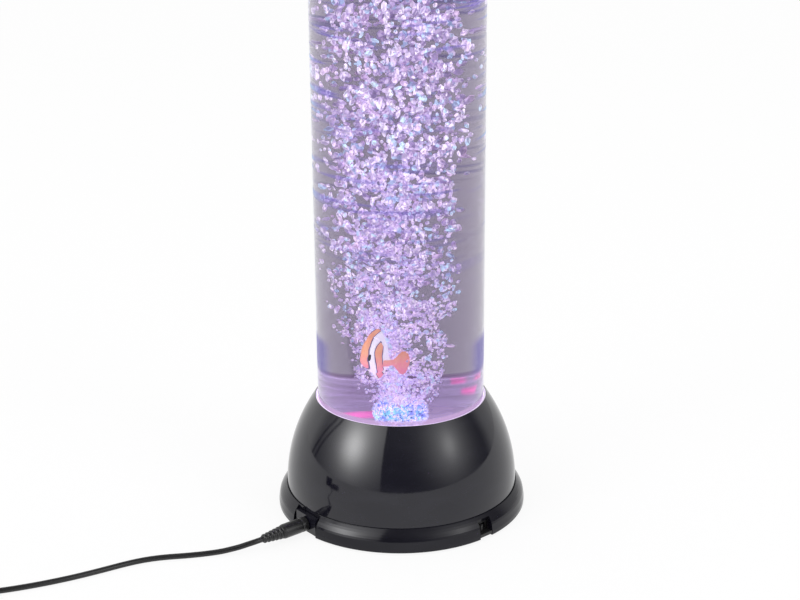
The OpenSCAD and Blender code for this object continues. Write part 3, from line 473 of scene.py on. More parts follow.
@dataclass(frozen=True)
class LitMilk(Finish):
    """Milky clear plastic lit from below by the ring of light chips."""

    colour: Colour
    lit: Colour
    spot: Colour
    strength: float
    spot_angle: float
    spot_heights: tuple[float, ...]
    spot_reach: Pair
    spot_edge: Pair
    lip: float

    def shade(self, net: Net) -> Link:
        """Three pink spots in violet light, drawn out into level lines."""
        place = net.place()
        x, y, z = net.axes(place)
        turn = y.math("ARCTAN2", x) - math.radians(self.spot_angle)
        radius = (x * x + y * y).math("SQRT")
        cloud = net.streaks(place, (1.0, 1.0, 3.0), 110.0, 2.0)
        marks: list[Link] = []
        for i, height in enumerate(self.spot_heights):
            lobe = ((turn + math.radians(2.5 * i)) * LOBES).wave().step(*self.spot_edge)
            level = 1.0 - (z - height).size().step(0.0008, 0.0036)
            marks.append(lobe * level * (cloud.step(0.3, 0.55) * 0.4 + 0.6))
        spot = marks[0].most(*marks[1:]) * radius.band(*self.spot_reach, 0.004)
        lines = net.streaks(place, (7.0, 7.0, 460.0)).step(0.3, 0.7)
        shade = net.blend(lines, shaded(self.lit, 0.72), self.lit)
        lit = net.blend(spot, shade, self.spot)
        below = 1.0 - z.step(self.lip - 0.001, self.lip)
        edge = z.band(self.lip - 0.0022, self.lip + 0.0002, 0.0006) * 0.9
        power = (below * 0.4 + 0.6 + edge) * (cloud.step(0.3, 0.7) * 0.25 + 0.8) * self.strength
        return net.glowing(lit, power, Base_Color=self.colour, Roughness=cloud * 0.1 + 0.22)


@dataclass(frozen=True)
class Bubble(Finish):
    """Air in water, lit from below: bright violet-white facets with clear glints."""

    colour: Colour
    lit: Colour
    strength: float
    pale: Colour = (0.95, 0.92, 1.0)
    # the last three colours are painted glints: violet-white, cyan and pink
    glint: Colour = (0.97, 0.86, 1.0)
    cyan_glint: Colour = (0.3, 0.85, 1.0)
    warm: Colour = (1.0, 0.6, 0.92)

    def shade(self, net: Net) -> Link:
        """The painted light changes from facet to facet; its brightness, its cyan and pink glints
        and the base colour change from bubble to bubble.
        """
        place = net.place()
        facet = net.add("NewGeometry").out("True Normal")
        turned, moved = net.stretch(facet, (2.3, 2.3, 2.3)), net.stretch(place, (60.0, 60.0, 60.0))
        facet = net.add("VectorMath", {0: turned, 1: moved}, operation="ADD").out()
        sparkle = net.noise(facet, 1.0, 1.0)
        patch = net.noise(place, 230.0, 1.0)
        cyan_glint = net.noise(place, 170.0, 0.0).step(0.6, 0.68)
        warm = net.streaks(place, (-1.0, 1.0, 1.0), 150.0, 0.0).step(0.58, 0.7)
        # painted light and shade: some patches of bubbles glow brighter, others darker
        lit = net.blend(patch.step(0.3, 0.7), shaded(self.lit, 0.4), self.lit)
        lit = net.blend(sparkle.step(0.5, 0.6), lit, self.glint)
        lit = net.blend(cyan_glint * 0.75, lit, self.cyan_glint)
        lit = net.blend(warm * 0.5, lit, self.warm)
        power = (sparkle.step(0.36, 0.64) * 1.15 + 0.35) * self.strength
        base = net.blend(patch, self.colour, self.pale)
        return net.glowing(lit, power, Base_Color=base, Roughness=sparkle * 0.1 + 0.08)


@dataclass(frozen=True)
class Stone(Finish):
    """Porous stone in blue light."""

    colour: Colour
    lit: Colour
    bright: Colour = (0.2, 0.85, 1.0)

    def shade(self, net: Net) -> Link:
        """Grains, pits darkened with painted shade, and patches of brighter light."""
        place = net.place()
        grains = net.cells(place, 700.0)
        patch = net.noise(place, 130.0, 2.0)
        lit = net.blend(patch.step(0.4, 0.65), self.lit, self.bright)
        # painted shade: the pits, near the middles of the cells, are darker and glow less
        base = net.blend(grains.step(0.0, 0.6), shaded(self.colour, 0.4), self.colour)
        bump = net.bump(grains, 0.0004)
        power = grains.step(0.1, 0.7) + 0.25
        return net.glowing(lit, power, Base_Color=base, Roughness=0.85, Normal=bump)


@dataclass(frozen=True)
class FishPaint(Finish):
    """White plastic fish with orange bands that have dark edges, and an orange tail; it glows in
    its own colours, and its lower body turns pink and rose with painted light from the chips below.
    """

    orange: Colour
    # pink and the rose colour below are painted light from the chips below, on the lower body
    pink: Colour
    bands: tuple[tuple[float, float, float], ...]
    bend: float
    bend_height: float
    tail: float
    root: float
    white: Colour = (0.88, 0.84, 0.96)
    rose_light_below: Colour = (1.0, 0.8, 0.98)
    line: Colour = (0.12, 0.08, 0.2)
    patch: Colour = (1.0, 0.55, 0.35)
    soft: float = 0.0008
    # painted light: the whole fish glows at this power
    power: float = 0.85

    def shade(self, net: Net) -> Link:
        """Bands lie across the body, bent towards the tail above and below."""
        place = net.place()
        x, _, z = net.axes(place)
        wobble = (net.noise(place, 110.0, 1.0) - 0.5) * 0.003
        rise = z - self.bend_height
        along = x + wobble + rise * rise * self.bend
        bands: list[Link] = []
        edges: list[Link] = []
        for middle, width, top in self.bands:
            side, over = along - middle, (z - top).most(0.0)
            away = (side * side + over * over).math("SQRT")
            bands.append(1.0 - away.step(width * 0.42, width * 0.5))
            edges.append(1.0 - away.step(width * 0.55, width * 0.68))
        tail, root = (1.0 - x.step(end - self.soft, end) for end in (self.tail, self.root))
        root = root * (1.0 - z.size().step(0.0019, 0.0025))
        # painted light from below: the lower body turns pink and rose
        low = 1.0 - z.step(-0.006, 0.008)
        warm = net.blend(low * 0.8, self.orange, self.pink)
        mottle = net.noise(place, 260.0, 3.0).step(0.3, 0.75) * 0.3
        warm = net.blend(mottle, warm, self.patch)
        white = net.blend(low * 0.5, self.white, self.rose_light_below)
        body = net.blend(edges[0].most(*edges[1:]), white, self.line)
        body = net.blend(bands[0].most(*bands[1:], tail, root), body, warm)
        rays = net.streaks(place, (60.0, 900.0, 420.0)).step(0.3, 0.7)
        rough, bump = rays * 0.1 + 0.3, net.bump(rays, 0.00008)
        return net.glowing(body, self.power, Base_Color=body, Roughness=rough, Normal=bump)


@dataclass(frozen=True)
class Chip(Finish):
    """Light chip: a white frame around a lit gel."""

    spot_angle: float
    colour: Colour = (0.9, 0.88, 0.8)
    blue: Colour = (0.25, 0.3, 1.0)
    pink: Colour = (1.0, 0.15, 0.5)
    gel_low: float = 0.0459
    gel_high: float = 0.0461
    power: float = 3.0

    def shade(self, net: Net) -> Link:
        """Pairs of chips are pink, the pairs between them blue."""
        place = net.place()
        x, y, z = net.axes(place)
        turn = (y.math("ARCTAN2", x) - math.radians(self.spot_angle)) * LOBES
        lit = net.blend(turn.wave().step(-0.1, 0.1), self.blue, self.pink)
        top = z.step(self.gel_low, self.gel_high) * net.cells(place, 180.0).step(0.0, 0.5)
        return net.glowing(
            lit, top * self.power, Base_Color=self.colour, Roughness=top * 0.2 + 0.3)


RING_BLACK = Moulded("ring_black", (0.0085, 0.008, 0.014), 0.11, 0.05, 500.0, 0.000004, 0.3)
GLOSS_BLACK = Moulded("gloss_black", (0.0095, 0.009, 0.017), 0.05, 0.05, 500.0, 0.000004)
SATIN_BLACK = Moulded("satin_black", (0.014, 0.014, 0.015), 0.34, 0.1, 1500.0, 0.00003)
LEAD_BLACK = Moulded("lead_black", (0.012, 0.012, 0.013), 0.26, 0.12, 1100.0, 0.00002)
RUBBER = Moulded("rubber", (0.016, 0.016, 0.016), 0.6, 0.12, 1800.0, 0.00004)
PALE = Moulded("pale_plastic", (0.72, 0.71, 0.67), 0.38, 0.1, 1200.0, 0.00003)
DARK_PARTS = Moulded("dark_parts", (0.03, 0.03, 0.035), 0.42, 0.1, 1600.0, 0.00003)
HOSE = Moulded("hose", (0.62, 0.64, 0.64), 0.2, 0.1, 700.0, 0.00002)
RED_WIRE = Moulded("red_wire", (0.5, 0.03, 0.03), 0.32, 0.1)
WHITE_WIRE = Moulded("white_wire", (0.75, 0.75, 0.72), 0.32, 0.1)
STEEL = Metal("steel", (0.62, 0.62, 0.64), 0.22)
CONTACT = Metal("contact", (0.78, 0.7, 0.5), 0.2, (12.0, 1.0, 1.0))
IRON = Layers("iron_sheets", (0.32, 0.32, 0.34), 0.0005, 1, 0.9)
COPPER = Layers("copper_wire", (0.72, 0.33, 0.16), 0.0004, 0, 0.8)
MAGNET = Metal("magnet", (0.22, 0.22, 0.25), 0.35)
GREEN_BOARD = Board("green_board", (0.02, 0.16, 0.06), (0.06, 0.32, 0.12))
WHITE_BOARD = Board("white_board", (0.8, 0.82, 0.8), (0.62, 0.64, 0.62))
TUBE_WALL = ClearWall(
    "tube_wall", (0.2, 0.15, 0.62), (0.62, 0.86, 1.0), (0.1, 0.08, 0.45),
    (0.62, 0.42, 0.72), 0.42, (0.14, 0.99))
WATER = Water("water", (13.3, 14.9, 11.4))
CUP_MILK = LitMilk(
    "cup_milk", (0.55, 0.48, 0.62), (0.8, 0.7, 0.9), (1.7, 0.28, 0.8), 1.42, 72.0,
    (0.0737, 0.0655), (0.03, 0.09), (0.994, 0.9985), 0.0768)
FLOOR_MILK = LitMilk(
    "floor_milk", (0.6, 0.55, 0.7), (0.8, 0.64, 0.9), (1.9, 0.3, 0.95), 1.4, 109.0,
    (0.0583,), (0.03, 0.046), (0.8, 0.93), 0.2)
BUBBLES = Bubble("bubbles", (0.82, 0.72, 0.98), (0.78, 0.6, 1.0), 0.75)
# the fizz on the stone: the same bubbles with bluer, stronger painted light
FIZZ = Bubble("fizz", (0.75, 0.82, 1.0), (0.5, 0.6, 1.0), 1.1)
STONE = Stone("lit_stone", (0.4, 0.5, 0.8), (0.2, 0.26, 1.0))
FISH = FishPaint(
    "striped_fish", (0.8, 0.33, 0.2), (0.95, 0.26, 0.45),
    ((0.0202, 0.0056, 0.03), (0.0092, 0.0057, 0.0107)), 45.0, 0.005, -0.0036, 0.0052)
FISH_EYE = Moulded("fish_eye", (0.01, 0.01, 0.02), 0.1)
CHIPS = Chip("chips", 90.0)


# ---- Meshes ----


def smooth(points: Sequence[Point], steps: int) -> list[Vector]:
    """Runs a smooth curve through points.

    Args:
        points: the points to pass, in order.
        steps: how many steps between neighbours.

    Returns:
        The points of the curve.
    """
    knots = [Vector(p) for p in points]
    run: list[Vector] = []
    for i in range(len(knots) - 1):
        a, b, c, d = (knots[min(max(i + k, 0), len(knots) - 1)] for k in (-1, 0, 1, 2))
        for j in range(steps):
            t = j / steps
            run.append(
                0.5 * (2 * b + (c - a) * t + (2 * a - 5 * b + 4 * c - d) * t * t
                       + (3 * b - a - 3 * c + d) * t * t * t))
    return run + [knots[-1]]


def mesh_of(
    name: str, points: Sequence[Sequence[float]], faces: Sequence[Face]
) -> bpy.types.Mesh:
    """A smooth mesh from points and faces."""
    mesh = bpy.data.meshes.new(name)
    mesh.from_pydata([tuple(p) for p in points], [], [tuple(f) for f in faces])
    mesh.polygons.foreach_set("use_smooth", [True] * len(mesh.polygons))
    mesh.update()
    return mesh


def skin(rings: Sequence[Sequence[Vector]], name: str) -> bpy.types.Mesh:
    """Joins rings of points into one closed skin.

    Args:
        rings: rings with as many points each, in order.
        name: the name of the mesh.

    Returns:
        The mesh.
    """
    rows, count = len(rings), len(rings[0])
    points = [p for ring in rings for p in ring]
    return mesh_of(name, points, grid_faces(rows, count) + ends(rows, count))


def lathe(name: str, profile: Sequence[Pair], steps: int = 96) -> bpy.types.Mesh:
    """Turns a profile of radius and height around Z.

    Args:
        name: the name of the mesh.
        profile: points from one end of the axis to the other, going up.
        steps: how many steps around.

    Returns:
        The mesh, closed where the profile meets the axis.
    """
    rings = [
        [Vector((r * math.cos(a), r * math.sin(a), z))
         for a in (math.tau * k / steps for k in range(steps))]
        for r, z in profile]
    return skin(rings, name)


def grid_faces(rows: int, count: int) -> list[Face]:
    """The faces between rings of as many points each, in order."""
    faces: list[Face] = []
    for i in range(rows - 1):
        for k in range(count):
            a, b = i * count + k, i * count + (k + 1) % count
            faces.append((a, b, b + count, a + count))
    return faces


def ends(rows: int, count: int) -> list[Face]:
    """A face over the first ring and one over the last."""
    return [tuple(range(count))[::-1], tuple((rows - 1) * count + k for k in range(count))]


def rounded(profile: Sequence[Pair], radius: float, steps: int = 3) -> list[Pair]:
    """Rounds the corners of a profile.

    Args:
        profile: the corners in order.
        radius: how far from a corner the rounding starts, where there is room.
        steps: how many steps each rounding has.

    Returns:
        The profile with more points.
    """
    corners = [Vector(p) for p in profile]
    out: list[Pair] = [tuple(corners[0])]
    for a, b, c in zip(corners, corners[1:], corners[2:]):
        reach = min(radius, (a - b).length / 2.2, (c - b).length / 2.2)
        start, end = b + (a - b).normalized() * reach, b + (c - b).normalized() * reach
        for i in range(steps + 1):
            t = i / steps
            out.append(tuple(start.lerp(b, t).lerp(b.lerp(end, t), t)))
    return out + [tuple(corners[-1])]


def squared(across: Vector, way: Vector) -> Vector:
    """The part of a direction that is square to the way, one long."""
    return (across - across.dot(way) * way).normalized()


def way_at(points: Sequence[Vector], i: int) -> Vector:
    """Which way a line runs at one of its points."""
    last = len(points) - 1
    return (points[min(i + 1, last)] - points[max(i - 1, 0)]).normalized()


def swept(name: str, points: Sequence[Vector], radius: float, sides: int) -> bpy.types.Mesh:
    """Sweeps a circle along points, without twist.

    Args:
        name: the name of the mesh.
        points: the middle line.
        radius: the radius of the circle.
        sides: how many sides the circle has.

    Returns:
        The mesh.
    """
    rings = []
    across = Vector((0, 0, 1)) if abs(way_at(points, 0).z) < 0.7 else Vector((1, 0, 0))
    for i, p in enumerate(points):
        way = way_at(points, i)
        across = squared(across, way)
        other = way.cross(across)
        rings.append([
            p + radius * (math.cos(a) * across + math.sin(a) * other)
            for a in (math.tau * k / sides for k in range(sides))])
    return skin(rings, name)


@dataclass
class Shop:
    """Places pieces and CAD nodes and keeps count."""

    made: int = 0
    dressed: int = 0

    def piece(
        self,
        name: str,
        mesh: bpy.types.Mesh,
        finish: Finish,
        slot: str,
        body: str = Kind.LAMP.value,
        replaces: Sequence[str] = (),
    ) -> bpy.types.Object:
        """Adds a piece to the scene.

        Args:
            name: the name of the piece.
            mesh: its mesh.
            finish: its finish.
            slot: the material slot of the record that it belongs to; not used.
            body: the body it moves with.
            replaces: the CAD nodes it stands for.

        Returns:
            The new object.
        """
        obj = placed(name, mesh)
        mesh.materials.append(finish.material())
        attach(obj, body)
        if replaces:
            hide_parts(*replaces)
        self.made += 1
        LOG.info("piece %s: %d faces on %s", name, len(mesh.polygons), body)
        return obj

    def dress(self, finish: Finish, *nodes: str, bevel: float = 0.0) -> None:
        """Gives CAD nodes a finish.

        Args:
            finish: the finish.
            *nodes: the names of the nodes.
            bevel: the radius of softened edges, in metres, or 0.
        """
        for node in nodes:
            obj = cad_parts[node]
            for place in obj.material_slots:
                place.material = finish.material()
            if bevel:
                edge = obj.modifiers.new("edge", "BEVEL")
                edge.width = bevel
                edge.segments = 2
                edge.limit_method = "ANGLE"
                edge.angle_limit = math.radians(40)
            self.dressed += 1
            LOG.info("node %s: %s", node, finish.name)


# ---- Studio ----


@dataclass
class Studio:
    """Camera, pale floor, soft lights and surroundings."""

    camera_at: Point = (0.0, -1.03727, 0.51039)
    lens: float = 76.04
    pitch: float = 19.544
    roll: float = -0.455
    floor_side: float = 14.0
    floor_shade: float = 0.82
    floor_glow: float = 0.88
    floor_shadow: float = 0.16
    box_power: float = 9.0
    box_size: Pair = (1.0, 1.4)
    box_at: Point = (1.7, -1.3, 1.7)
    box_aim: Point = (0.0, 0.0, 0.3)
    ambient: float = 0.62
    room: float = 0.13
    glows: tuple[tuple[Point, float], ...] = (
        ((-145.0, 34.0, 7.5), 3.9), ((-33.0, 26.0, 13.0), 2.1),
        ((-147.0, 24.5, 42.0), 7.6), ((-32.0, 24.5, 90.0), 1.8))
    left_edge: float = -200.0
    frame_way: Point = (-0.252, -0.890, -0.380)
    frame_gap: float = 0.045

    def camera(self) -> None:
        """Stands the camera where the photograph was taken from."""
        data = bpy.data.cameras.new("camera")
        data.lens = self.lens
        data.clip_end = 60.0
        obj = placed("camera", data)
        turn = Matrix.Rotation(math.radians(90 - self.pitch), 4, "X")
        roll = Matrix.Rotation(math.radians(self.roll), 4, "Z")
        obj.matrix_world = Matrix.Translation(self.camera_at) @ turn @ roll
        bpy.context.scene.camera = obj

    def floor(self) -> None:
        """Lays a white sheet that keeps the shadow of the lamp."""
        side = self.floor_side / 2
        points = [(-side, -side, 0), (side, -side, 0), (side, side, 0), (-side, side, 0)]
        mesh = mesh_of("floor", points, [(0, 1, 2, 3)])
        material = bpy.data.materials.new("floor")
        material.use_nodes = True
        net = Net(material.node_tree)
        path = net.add("LightPath")
        seen = path.out("Is Camera Ray").most(
            path.out("Is Glossy Ray"), path.out("Is Transmission Ray"))
        glow, keep = net.lit((1, 1, 1), self.floor_glow), net.paper(self.floor_shadow)
        bright = net.add("AddShader", {0: glow, 1: keep}).out()
        surface = net.mix(seen, net.paper(self.floor_shade), bright)
        net.add("OutputMaterial", {"Surface": surface})
        mesh.materials.append(material)
        placed("floor", mesh)

    def softbox(self, side: Side) -> None:
        """Hangs a large soft lamp at one side, in front of the lamp."""
        data = bpy.data.lights.new("softbox_" + side.name.lower(), "AREA")
        data.shape = "RECTANGLE"
        data.size, data.size_y = self.box_size
        data.energy = self.box_power
        obj = placed(data.name, data)
        obj.location = (side.value * self.box_at[0], self.box_at[1], self.box_at[2])
        aim = Vector(self.box_aim) - obj.location
        obj.rotation_euler = aim.to_track_quat("-Z", "Y").to_euler()
        obj.visible_glossy = False

    def surroundings(self) -> None:
        """Sets white walls behind, a dark room in front and two soft glows in it."""
        world = bpy.data.worlds.new("surroundings")
        bpy.context.scene.world = world
        world.use_nodes = True
        net = Net(world.node_tree)
        way = net.add("TexCoord").out("Generated")
        x, y, z = net.axes(way)
        walls = y.step(0.15, 0.45) * (0.9 - x.step(-0.2, 0.6) * 0.25)
        walls = walls * (1.0 - z.step(0.25, 0.8) * 0.4)
        left, right, left_box, right_box = (
            self.lobe(net, way, *place) * power for place, power in self.glows)
        a = math.radians(self.left_edge)
        left = left * net.toward(way, (math.cos(a), math.sin(a), 0.0)).step(-0.01, 0.02)
        off, half = net.toward(way, self.frame_way), self.frame_gap
        frames = ((off - half).size() - half).size()
        dark = (1.0 - frames.step(0.01, 0.028)) * z.step(-0.08, 0.02)
        dark = dark * (1.0 - x.step(-0.6, -0.4)) * 0.65
        room = self.room * (z.step(0.3, 0.8) + 1.0) + walls + left + right + left_box + right_box
        room = room * (1.0 - dark)
        path = net.add("LightPath")
        white = path.out("Is Camera Ray").most(path.out("Is Transmission Ray"))
        glossy = path.out("Is Glossy Ray") * (1.0 - white)
        plain = 1.0 - glossy.most(white)
        strength = white + glossy * room + plain * self.ambient
        values = {"Color": (1, 1, 1), "Strength": strength}
        shade = net.add("Background", values).out()
        net.add("OutputWorld", {"Surface": shade})

    @staticmethod
    def lobe(net: Net, way: Link, azimuth: float, height: float, tight: float) -> Link:
        """A soft glow around one direction, 1 in its middle."""
        a, h = math.radians(azimuth), math.radians(height)
        middle = (math.cos(a) * math.cos(h), math.sin(a) * math.cos(h), math.sin(h))
        return ((net.toward(way, middle) - 1.0) * tight).math("EXPONENT")

    def build(self) -> None:
        """Builds the studio, camera first."""
        self.camera()
        self.floor()
        self.softbox(Side.LEFT)
        self.softbox(Side.RIGHT)
        self.surroundings()
        bpy.context.scene.view_settings.view_transform = "Standard"


# ---- Lead, plug and adapter ----


@dataclass
class Lead:
    """The low-voltage lead with its plug, its coil and the plug-in adapter."""

    shop: Shop
    diameter: float = 3.7 * MM
    coil_middle: Pair = (-292.0, -158.0)
    coil_out: float = 25.375
    coil_pitch: float = 4.15
    coil_layers: int = 4
    coil_turns: float = 2.5
    coil_low: float = 2.95
    steps: int = 40
    inlet_angle: float = 219.2
    plug_face: float = 80.6
    plug_z: float = 6.8
    ribs: int = 5
    rib_start: float = 20.0
    rib_pitch: float = 2.9
    rib_radii: Pair = (4.2, 2.95)

    def coil(self) -> list[Point]:
        """The turns of the coil, wound in and out again, layer on layer."""
        whole = 360.0 * self.coil_turns
        half = 90.0 / whole
        turns: list[Point] = []
        for i in range(int(self.coil_layers * self.coil_turns * self.steps) + 1):
            angle = 360.0 * i / self.steps
            u = angle / whole
            fold = u % 2 if u % 2 <= 1 else 2 - u % 2
            k = math.floor(u + 0.5)
            layer = float(math.floor(u))
            if 1 <= k < self.coil_layers and abs(u - k) <= half:
                layer = k - 1 + (u - k + half) / (2 * half)
            layer = min(layer, self.coil_layers - 1)
            r = self.coil_out - self.coil_pitch * self.coil_turns * fold
            a = math.radians(90 + angle)
            turns.append((
                self.coil_middle[0] + r * math.cos(a),
                self.coil_middle[1] + r * math.sin(a),
                self.coil_low + self.coil_pitch * layer))
        return turns

    def route(self) -> list[Vector]:
        """The whole way of the lead, from the plug to the adapter, in metres."""
        free: list[Point] = [(-89.196, -72.747, 6.8), (-92.063, -75.085, 6.8)]
        free += [(-98, -77.2, 5.7), (-103, -78.4, 4.5), (-108, -79.2, 3.5), (-114, -80.2, 2.5)]
        free += [(-120, -81.2, 2)]
        free += [(x, y, 1.85) for x, y in (
            (-128, -82.9), (-138, -84.7), (-148, -86.1), (-158, -88.4), (-167, -91.8),
            (-176, -96.4), (-185, -101.6), (-194, -106.6), (-203, -111.3), (-212, -115.5),
            (-221, -119.3), (-230, -122.7), (-240, -126), (-250, -128.7))]
        free += [(-260, -131, 2.1), (-270, -132, 2.5), (-280, -132.625, 2.95)]
        turns = self.coil()
        end = turns[-1]
        tail: list[Point] = [(end[0] - 4, end[1], end[2]), (end[0] - 14, end[1], end[2])]
        run = smooth(free + [(-288.3, -132.625, 2.95)], 2)
        return [p * MM for p in run + [Vector(p) for p in turns + tail]]

    def plug(self) -> bpy.types.Object:
        """The round grip with its ribbed bend relief."""
        grip: list[Pair] = [
            (0.0, 0.0), (4.1, 0.0), (4.8, 0.7), (4.8, 4.0), (4.55, 4.4), (4.55, 5.0), (4.8, 5.4),
            (4.8, 17.6), (4.2, 19.6), (3.7, 20.0)]
        wide, narrow = self.rib_radii
        for i in range(self.ribs):
            r = wide + (narrow - wide) * i / (self.ribs - 1)
            z = self.rib_start + self.rib_pitch * i
            grip += [
                (r - 0.7, z + 0.1), (r, z + 0.3), (r, z + 1.7), (r - 0.75, z + 2.0),
                (r - 0.85, z + 2.8)]
        grip += [(1.9, 34.45), (0.0, 34.5)]
        mesh = lathe("power_plug_grip", [(r * MM, z * MM) for r, z in rounded(grip, 0.25)], 48)
        mesh.transform(self.outwards(self.plug_face))
        return self.shop.piece(mesh.name, mesh, LEAD_BLACK, "lead_black", replaces=["power_plug"])

    def outwards(self, radius: float) -> Matrix:
        """Turns Z outwards along the inlet direction, from a radius in millimetres."""
        a = math.radians(self.inlet_angle)
        start = Vector((radius * math.cos(a), radius * math.sin(a), self.plug_z)) * MM
        return (
            Matrix.Translation(start)
            @ Matrix.Rotation(a, 4, "Z")
            @ Matrix.Rotation(math.radians(90), 4, "Y"))

    def build(self) -> None:
        """Lays the lead, then dresses what hangs on it."""
        points = self.route()
        curve = bpy.data.curves.new("lead", "CURVE")
        curve.dimensions = "3D"
        curve.bevel_depth = self.diameter / 2
        curve.bevel_resolution = 3
        curve.use_fill_caps = True
        line = curve.splines.new("POLY")
        line.points.add(len(points) - 1)
        for knot, p in zip(line.points, points):
            knot.co = (*p, 1.0)
        line.use_smooth = True
        lead = placed("lead", curve)
        curve.materials.append(LEAD_BLACK.material())
        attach(lead, Kind.LAMP.value)
        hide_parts("cord", "cord_coil")
        plug = self.plug()
        self.shop.dress(SATIN_BLACK, "adapter_case", "adapter_lid", bevel=1.4 * MM)
        self.shop.dress(RUBBER, "cord_tie", bevel=0.3 * MM)
        self.shop.dress(CONTACT, "adapter_blades", bevel=0.3 * MM)
        self.shop.dress(STEEL, "plug_barrel")
        self.shop.dress(GREEN_BOARD, "adapter_board")
        length = sum((b - a).length for a, b in zip(points, points[1:]))
        LOG.info("lead: %.3f m", length)


# ---- Base ----


BASE_FINISHES: tuple[tuple[Finish, Sequence[str]], ...] = (
    (GLOSS_BLACK, ["base_dome"]),
    (RING_BLACK, ["trim_ring"]),
    (SATIN_BLACK, ["bottom_plate", "switch_body"]),
    (RUBBER, ["rubber_feet", "pump_pads", "nozzle_gasket", "cap_seal"]),
    (PALE, ["support_drum", "pump_case", "pump_lid", "air_nozzle", "nozzle_nut"]),
    (STEEL, ["case_screws", "drum_screws", "board_screws", "lid_screws", "arm_pivot", "pump_arm"]),
    (HOSE, ["check_valve"]),
    (GREEN_BOARD, ["control_board"]),
    (WHITE_BOARD, ["light_board"]),
    (CHIPS, ["light_chips"]),
    (IRON, ["pump_core"]),
    (COPPER, ["pump_coil"]),
    (MAGNET, ["arm_magnet"]),
)
BASE_EDGED: tuple[tuple[Finish, Sequence[str]], ...] = (
    (SATIN_BLACK, ["switch_knob"]),
    (DARK_PARTS, ["board_parts", "valve_box"]),
)


@dataclass
class Base:
    """The glossy dome on its ring, with everything inside."""

    shop: Shop
    edges: float = 0.2 * MM

    def build(self) -> None:
        """Dresses the shells, plates, boards and screws."""
        for finish, nodes in BASE_FINISHES:
            self.shop.dress(finish, *nodes)
        for finish, nodes in BASE_EDGED:
            self.shop.dress(finish, *nodes, bevel=self.edges)
        self.shop.dress(GLOSS_BLACK, "power_inlet", bevel=0.25 * MM)
        self.shop.dress(GLOSS_BLACK, "top_cap", bevel=0.4 * MM)


# ---- Water column ----


@dataclass
class Column:
    """Tube, water, cup and the lit foot."""

    shop: Shop
    water_r: float = 54.9
    floor_z: float = 52.4
    level_z: float = 1000.0
    wall_steps: int = 24
    around: int = 160

    def build(self) -> None:
        """Dresses the tube and fills it."""
        self.shop.dress(TUBE_WALL, "tube")
        self.shop.dress(CUP_MILK, "seat_cup")
        self.shop.dress(FLOOR_MILK, "tube_floor")
        r, z0, z1 = self.water_r * MM, self.floor_z * MM, self.level_z * MM
        profile = [(0.0, z0), (r - 0.0005, z0), (r, z0 + 0.0005)]
        steps = self.wall_steps
        profile += [(r, z0 + (z1 - z0) * i / steps) for i in range(1, steps)]
        profile += [(r, z1 + 0.001), (r - 0.002, z1), (0.0, z1)]
        mesh = lathe("water", profile, self.around)
        mesh.polygons.foreach_set("use_smooth", [len(p.vertices) == 4 for p in mesh.polygons])
        self.shop.piece("water", mesh, WATER, "clear_acrylic")


# ---- Bubbles ----


